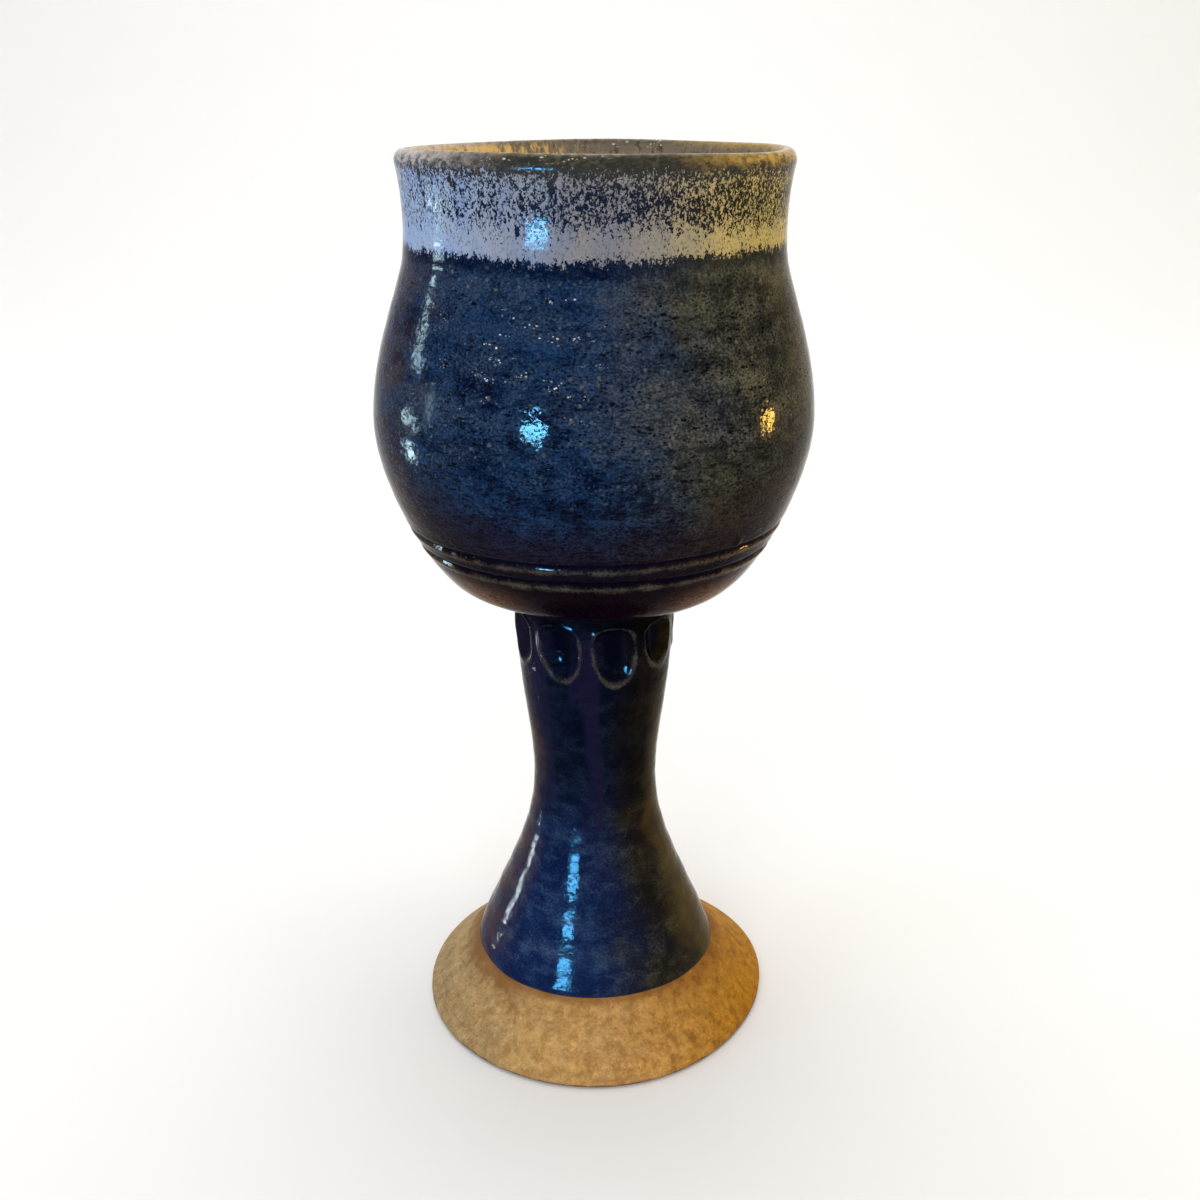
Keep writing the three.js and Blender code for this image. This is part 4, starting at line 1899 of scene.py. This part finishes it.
@dataclass
class StemParts:
    """The thrown stem: its clay, bare at the flared foot, its coat, and the slip on its top."""

    outline: Outline
    wall: ThrownWall = ThrownWall()
    collar: Collar = Collar()
    foot: FootEdge = FootEdge()
    clay_top: float = 91.2
    bore_wall: float = 4.0
    ring_width: float = 4.6
    clearance: float = 0.15
    bead_reach: float = 1.5
    line_wave: float = 0.55
    slip_thickness: float = 0.85
    slip_gap: float = 0.15
    slip_middle: float = 12.9
    slip_half_width: float = 1.6
    slip_squareness: float = 0.6
    collar_zone: Pair = (75.0, 90.6)
    flare_height: float = 14.0
    bore_rings: float = 0.14
    bore_pitch: float = 7.0

    def __post_init__(self) -> None:
        """Lays out the lines that the pieces share."""
        self.clay_line = self.outline.stem_clay()
        self.skin_line = self.outline.stem_skin()

    def relief(self, turn: Array, rise: Array) -> tuple[Array, Array, Array]:
        """The outside as it is thrown, pressed and cut.

        Args:
            turn: azimuths.
            rise: heights.

        Returns:
            The relief, where glaze runs thin and where it pools.
        """
        press, thin, pooled = self.collar.relief(turn, rise)
        settled = smoothstep(self.clay_top + 1.2, self.clay_top - 1.0, rise)
        bare = smoothstep(3.0, 9.0, rise)
        return self.wall.relief(turn, rise) * bare * settled + press * settled, thin * settled, pooled

    def spread(self, turn: Array, radius: Array, rise: Array) -> Array:
        """How far the foot's uneven edge moves a point outwards."""
        reach = smoothstep(25.0, self.foot.radius, radius) * smoothstep(14.0, 2.0, rise)
        return self.foot.stretch(turn) * reach

    def blue_coat(self, material: Material) -> Object:
        """The blue coat: a soft wavy bead at the glaze line, the pressed collar, a fillet under the bowl.

        Args:
            material: its finish.

        Returns:
            The piece.
        """
        line = self.skin_line
        start = line.mark(*self.outline.glaze_line)
        low, high = (line.at_height(height) for height in self.collar_zone)
        end = line.length
        turn = turn_angles(TURNS)[None, :]
        ripple = 0.14 * drift(turn, turn * 0, 29, 50.0, 13)
        wave = self.line_wave * (drift(turn, turn * 0, 23, 50.0, 3) + ripple)

        def face(run: Array, lift: Callable[[Array, Array], Array]) -> Grid:
            """One of the coat's two faces.

            Args:
                run: lengths along the line.
                lift: a function of the bead's share and length that says how far the face stands out.

            Returns:
                The face's rings.
            """
            sway = wave * smoothstep(start + 12.0, start, run)[:, None]
            along = run[:, None] + sway
            radius, rise = line.place(along)
            relief, thin, pooled = self.relief(turn, rise)
            bead = np.clip((along - start - wave) / self.bead_reach, 0, 1)
            r, z = line.place(along, relief + lift(bead, along))
            marks = {Mark.THIN: np.maximum(thin, 0.7 * bell(bead, 0.22)), Mark.POOLED: pooled}
            return Grid(r + self.spread(turn, radius, rise), z, marks)

        coat = self.outline.coat

        def outer(bead: Array, along: Array) -> Array:
            """Round where the coat starts, then even."""
            return coat * (np.sqrt(1 - (1 - bead) ** 2) - 1) + 0.02

        def inner(bead: Array, along: Array) -> Array:
            """Close to the clay, and drawn up to the outer face at both ends."""
            taper = smoothstep(end - 0.05, end - 3.2, along)
            return np.minimum(-(coat - self.clearance) * taper - 0.02, outer(bead, along) - 0.015)

        even = start + self.bead_reach
        run = stations((start, even, 0.13), (even, low, 0.75), (low, high, 0.24), (high, end, 0.3))
        back = stations((end, high, 0.6), (high, low, 0.5), (low, even, 1.5), (even, start, 0.3))
        piece = make_piece("stem_blue_glaze", face(run, outer).followed_by(face(back, inner)))
        settle(piece, material, Slot.BLUE, "stem_glaze")
        return piece

    def clay(self, material: Material) -> Object:
        """The stem's clay: foot ring, flare, pressed collar and bore.

        Args:
            material: its finish.

        Returns:
            The piece.
        """
        line = self.clay_line
        turn = turn_angles(TURNS)[None, :]
        low, top = line.at_height(self.collar_zone[0]), line.at_height(self.clay_top)
        flare = line.at_height(self.flare_height)
        run = stations((0.0, flare, 0.4), (flare, low, 0.9), (low, top, 0.4))
        along = ringed(run, TURNS)
        radius, rise = line.place(along)
        r, z = line.place(along, self.relief(turn, rise)[0])
        outside = Grid(r + self.spread(turn, radius, rise), z)
        along = ringed(stations((top, low, 2.0), (low, flare, 1.2), (flare, 6.5, 0.9)), TURNS)
        inner_rings = self.bore_rings * rings(turn, line.place(along)[1], 3, self.bore_pitch)
        bore = Grid(*line.place(along, inner_rings - self.bore_wall))
        edge_r, edge_z = self.outline.foot_edge
        ring_inner = edge_r - self.ring_width
        profile = joined(
            bend([(ring_inner - 1.2, 2.6), (ring_inner - 0.2, 0.9), (ring_inner + 0.5, 0.0)], 6),
            bend([(ring_inner + 0.5, 0.0), (edge_r - 1.1, 0.0)], 8),
            bend([(edge_r - 1.1, 0.0), (edge_r - 0.15, 0.02), (edge_r + 0.12, 0.85)], 7),
            bend([(edge_r + 0.12, 0.85), (edge_r + 0.15, 1.6), (edge_r, edge_z)], 5),
        )[:-1]
        radius, rise = profile[:, :1], profile[:, 1:]
        edge = radius + self.foot.stretch(turn) * smoothstep(25.0, self.foot.radius, radius)
        chips = 0.05 * drift(turn, rise * 4, 91, 6.0, 30) * smoothstep(0.02, 0.6, rise)
        base = Grid(edge + chips, np.broadcast_to(rise, edge.shape))
        piece = make_piece("stem_clay", base.followed_by(outside).followed_by(bore))
        settle(piece, material, Slot.CLAY, "stem")
        return piece

    def slip(self, material: Material) -> Object:
        """The ring of slip that joins the stem to the bowl.

        Args:
            material: its finish.

        Returns:
            The piece.
        """
        turn = turn_angles(HIDDEN_TURNS)[None, :]
        bottom = self.clay_top + self.slip_gap
        top = bottom + self.slip_thickness
        angle = np.linspace(0, FULL_TURN, 24, endpoint=False)[:, None]
        squeeze = 0.12 * drift(turn, turn * 0, 52, 50.0, 9)
        across, upright = (
            np.sign(side) * np.abs(side) ** self.slip_squareness for side in (np.cos(angle), np.sin(angle))
        )
        radius = self.slip_middle + (self.slip_half_width + squeeze) * across
        height = np.broadcast_to((bottom + top) / 2 + (top - bottom) / 2 * upright, radius.shape)
        piece = make_piece("joint_slip", Grid(radius, height))
        settle(piece, material, Slot.SLIP, "luting_slip")
        return piece


# The studio


class Pane(Enum):
    """A lamp's outline."""

    SQUARE = "RECTANGLE"
    ROUND = "ELLIPSE"


class Serves(Enum):
    """What a lamp is there for."""

    BOTH = "light and highlights"
    LIGHT = "light"
    HIGHLIGHTS = "highlights"


WATTS = 4.0  # for each square metre of lamp and unit of radiance


@dataclass(frozen=True)
class Softbox:
    """A flat lamp that faces the goblet from an azimuth and an elevation, in degrees."""

    name: str
    azimuth: float
    elevation: float
    distance: float
    width: float
    height: float
    radiance: float
    colour: Colour = (1.0, 1.0, 1.0)
    aim: Colour = (0.0, 0.0, 0.12)
    serves: Serves = Serves.BOTH
    outline: Pane = Pane.SQUARE

    def set_up(self) -> Object:
        """Adds the lamp to the scene.

        Returns:
            The lamp's object.
        """
        lamp = bpy.data.lights.new(self.name, "AREA")
        lamp.shape = self.outline.value
        lamp.size, lamp.size_y = self.width, self.height
        lamp.energy = WATTS * self.width * self.height * self.radiance
        lamp.color = self.colour
        az, el = math.radians(self.azimuth), math.radians(self.elevation)
        way = np.array([math.sin(az) * math.cos(el), -math.cos(az) * math.cos(el), math.sin(el)])
        made = bpy.data.objects.new(self.name, lamp)
        made.location = np.array(self.aim) + way * self.distance
        made.rotation_euler = (math.pi / 2 - el, 0.0, az)
        made.visible_camera = False
        made.visible_diffuse = self.serves is not Serves.HIGHLIGHTS
        made.visible_glossy = self.serves is not Serves.LIGHT
        bpy.context.scene.collection.objects.link(made)
        return made


def pane(
    name: str,
    where: Colour,
    size: Pair,
    radiance: float,
    colour: Colour,
    aim: Colour,
    outline: Pane = Pane.SQUARE,
) -> Softbox:
    """A lamp that only shows as a highlight.

    Args:
        name: what it is called.
        where: its azimuth and elevation from aim, in degrees, and its distance.
        size: its width and height.
        radiance: how bright it looks.
        colour: its colour.
        aim: the point on the glaze that mirrors it towards the viewer.
        outline: its shape.

    Returns:
        The lamp.
    """
    return Softbox(name, *where, *size, radiance, colour, aim, Serves.HIGHLIGHTS, outline)


SKY = (0.1, 0.52, 1.0)
PALE_SKY = (0.16, 0.6, 1.0)
ICE = (0.6, 0.9, 1.0)
PALE_ICE = (0.75, 0.92, 1.0)
LAMPLIGHT = (1.0, 0.57, 0.1)
ROUND = Pane.ROUND


@dataclass(frozen=True)
class Studio:
    """A pale sheet that runs up behind the goblet, soft lamps and the camera."""

    sheet_half_width: float = 2.6
    sheet_front: float = -2.2
    sheet_back: float = 1.5
    sheet_top: float = 2.0
    sheet_bend: float = 0.7
    sheet_colour: Colour = (0.905, 0.899, 0.89)
    world_level: float = 0.3
    world_seen: float = 0.92
    world_colour: Colour = (1.0, 0.98, 0.95)
    camera_place: Colour = (0.0, -0.247, 0.1831)
    camera_tilt: float = 69.21
    lens: float = 39.741
    shift: float = 0.00458
    lamps: tuple[Softbox, ...] = (
        Softbox("Top softbox", 180, 80, 1.25, 1.1, 1.1, 2.3, (1.0, 0.98, 0.95)),
        Softbox("Front fill", -8, 32, 1.5, 1.3, 1.0, 1.9, serves=Serves.LIGHT),
        Softbox("Left fill", -72, 18, 1.7, 0.9, 0.8, 1.45, (0.55, 0.75, 1.0), serves=Serves.LIGHT),
        Softbox("Right fill", 78, 16, 1.7, 0.9, 0.8, 1.5, (1.0, 0.66, 0.28), serves=Serves.LIGHT),
        Softbox("Backdrop lamp", 0, 31, 1.15, 2.4, 0.3, 2.0, aim=(0.0, 1.3, 0.2)),
    )
    belly_panes: tuple[Softbox, ...] = (
        pane("Front window", (-29.7, 1.5, 1.6), (0.32, 0.24), 820, PALE_SKY, (-0.0097, -0.0397, 0.1334), ROUND),
        pane("Right lamp", (98, -4.3, 0.9), (0.12, 0.09), 250, LAMPLIGHT, (0.0294, -0.0284, 0.1325), ROUND),
        pane("Low left", (-108.5, -15.6, 0.3), (0.026, 0.04), 150, ICE, (-0.0315, -0.0266, 0.127)),
        pane("Dim left", (-91, -0.8, 0.9), (0.07, 0.2), 42, ICE, (-0.0273, -0.030, 0.1348), ROUND),
    )
    neck_panes: tuple[Softbox, ...] = (
        pane("Neck window", (-32.7, -7.3, 0.85), (0.20, 0.08), 850, SKY, (-0.0089, -0.0333, 0.1636)),
    )
    bowl_panes: tuple[Softbox, ...] = (
        pane("Left upper", (-107.5, 9.5, 1.6), (0.12, 0.10), 85, ICE, (-0.0285, -0.0228, 0.149)),
        pane("Left edge", (-103.5, 0, 0.12), (0.022, 0.006), 90, ICE, (-0.026, -0.023, 0.155)),
        pane("Left neck", (-106, -9.5, 0.6), (0.13, 0.03), 80, ICE, (-0.0263, -0.0228, 0.168)),
    )
    stem_panes: tuple[Softbox, ...] = (
        pane("Stem window", (-29, 4.5, 1.6), (0.34, 0.36), 720, SKY, (-0.0055, -0.018, 0.028)),
        pane("Stem side", (-103.5, 0, 0.165), (0.010, 0.0165), 200, PALE_ICE, (0.0, 0.0, 0.0092)),
    )

    def hang(self, name: str, panes: Sequence[Softbox], *pieces: Object) -> None:
        """Hangs lamps that only some pieces catch.

        Args:
            name: what the pieces are together.
            panes: the lamps.
            pieces: the pieces that catch them.
        """
        group = bpy.data.collections.new(name)
        for piece in pieces:
            group.objects.link(piece)
        for lamp in panes:
            lamp.set_up().light_linking.receiver_collection = group

    def sheet(self) -> Object:
        """The floor and backdrop as one swept sheet.

        Returns:
            The sheet.
        """
        angle = np.linspace(0, math.pi / 2, 25)
        foot = self.sheet_back - self.sheet_bend
        curve = [(foot + self.sheet_bend * math.sin(a), self.sheet_bend * (1 - math.cos(a))) for a in angle]
        line = [(self.sheet_front, 0.0), *curve, (self.sheet_back, self.sheet_top)]
        half = self.sheet_half_width
        points = [(x, y, z) for y, z in line for x in (-half, half)]
        faces = [(2 * i, 2 * i + 1, 2 * i + 3, 2 * i + 2) for i in range(len(line) - 1)]
        mesh = bpy.data.meshes.new("paper_sweep")
        mesh.from_pydata(points, [], faces)
        mesh.polygons.foreach_set("use_smooth", [True] * len(mesh.polygons))
        sheet = bpy.data.objects.new("paper_sweep", mesh)
        bpy.context.scene.collection.objects.link(sheet)
        material, w, shader = new_material("Pale paper")
        fibres = w.noise(w.place(0.05, 0.05), 3.0, 3.0)
        tone = tuple(c * 0.99 for c in self.sheet_colour)
        w.feed(shader.inputs["Base Color"], w.mix(fibres, self.sheet_colour, tone))
        shader.inputs["Roughness"].default_value = 0.9
        shader.inputs["Specular IOR Level"].default_value = 0.1
        mesh.materials.append(material)
        return sheet

    def world(self) -> World:
        """A dim room round the sheet, which is paler where the camera sees it.

        Returns:
            The world.
        """
        world = bpy.data.worlds.new("Dim room")
        world.use_nodes = True
        light = world.node_tree.nodes["Background"]
        light.inputs["Color"].default_value = (*self.world_colour, 1.0)
        w = Wiring(world.node_tree)
        seen = Signal(w, w.node("ShaderNodeLightPath").outputs["Is Camera Ray"])
        w.feed(light.inputs["Strength"], seen.span(0.0, 1.0, self.world_level, self.world_seen))
        return world

    def camera(self) -> Object:
        """The camera, at the height and tilt that the goblet is seen from.

        Returns:
            The camera.
        """
        lens = bpy.data.cameras.new("Camera")
        lens.sensor_width = 36.0
        lens.lens = self.lens
        lens.shift_x = self.shift
        camera = bpy.data.objects.new("Camera", lens)
        camera.location = self.camera_place
        camera.rotation_euler = (math.radians(self.camera_tilt), 0.0, 0.0)
        bpy.context.scene.collection.objects.link(camera)
        return camera

    def set_up(self) -> None:
        """Builds the sheet, the world, the lamps and the camera."""
        self.sheet()
        scene = bpy.context.scene
        scene.world = self.world()
        for lamp in self.lamps:
            lamp.set_up()
        scene.camera = self.camera()
        scene.view_settings.view_transform = "Standard"


def main() -> None:
    """Builds the studio and the goblet, piece by piece."""
    studio = Studio()
    studio.set_up()
    kiln = Kiln()
    outline = Outline()
    bowl_blue = BlueGlaze("Blue glaze on the bowl")
    stem_blue = BlueGlaze(
        "Blue glaze on the stem",
        deep=(0.0050, 0.0150, 0.066),
        body=(0.0200, 0.050, 0.135),
        bloom=(0.062, 0.086, 0.140),
        # warm_ colours: painted warm side light towards +X
        warm_deep=(0.011, 0.010, 0.010),
        warm_body=(0.033, 0.031, 0.019),
        warm_bloom=(0.072, 0.064, 0.038),
        low_share=0.0,
        # painted shade on the shaft under the bowl
        shaft=0.21,
        grit=0.6,
        peel=0.04,
        pits=0.055,
        lines=0.008,
        sparkle_share=0.12,
    )
    bowl = BowlParts(outline, Laps())
    bowl.clay(BareClay("Stoneware clay of the bowl").material(kiln))
    band = BandGlaze(bowl_blue)
    blue = bowl.blue_coat(bowl_blue.material(kiln))
    white = bowl.white_band(band.material(kiln))
    tan = bowl.liner(TanGlaze(band).material(kiln))
    studio.hang("Belly", studio.belly_panes, blue)
    studio.hang("Neck", studio.neck_panes, white, tan)
    studio.hang("Bowl", studio.bowl_panes, blue, white)
    stem = StemParts(outline, ThrownWall(ring_pitch=7.0, fine=0.012))
    stem.clay(BareClay("Bare stoneware clay").material(kiln))
    stem.slip(BareClay("Dry slip", sand=(0.36, 0.24, 0.12), grey=(0.3, 0.21, 0.12)).material(kiln))
    studio.hang("Stem", studio.stem_panes, stem.blue_coat(stem_blue.material(kiln)))


if __name__ == "__main__":
    logging.basicConfig(level=logging.INFO, format="%(name)s: %(message)s")
    main()
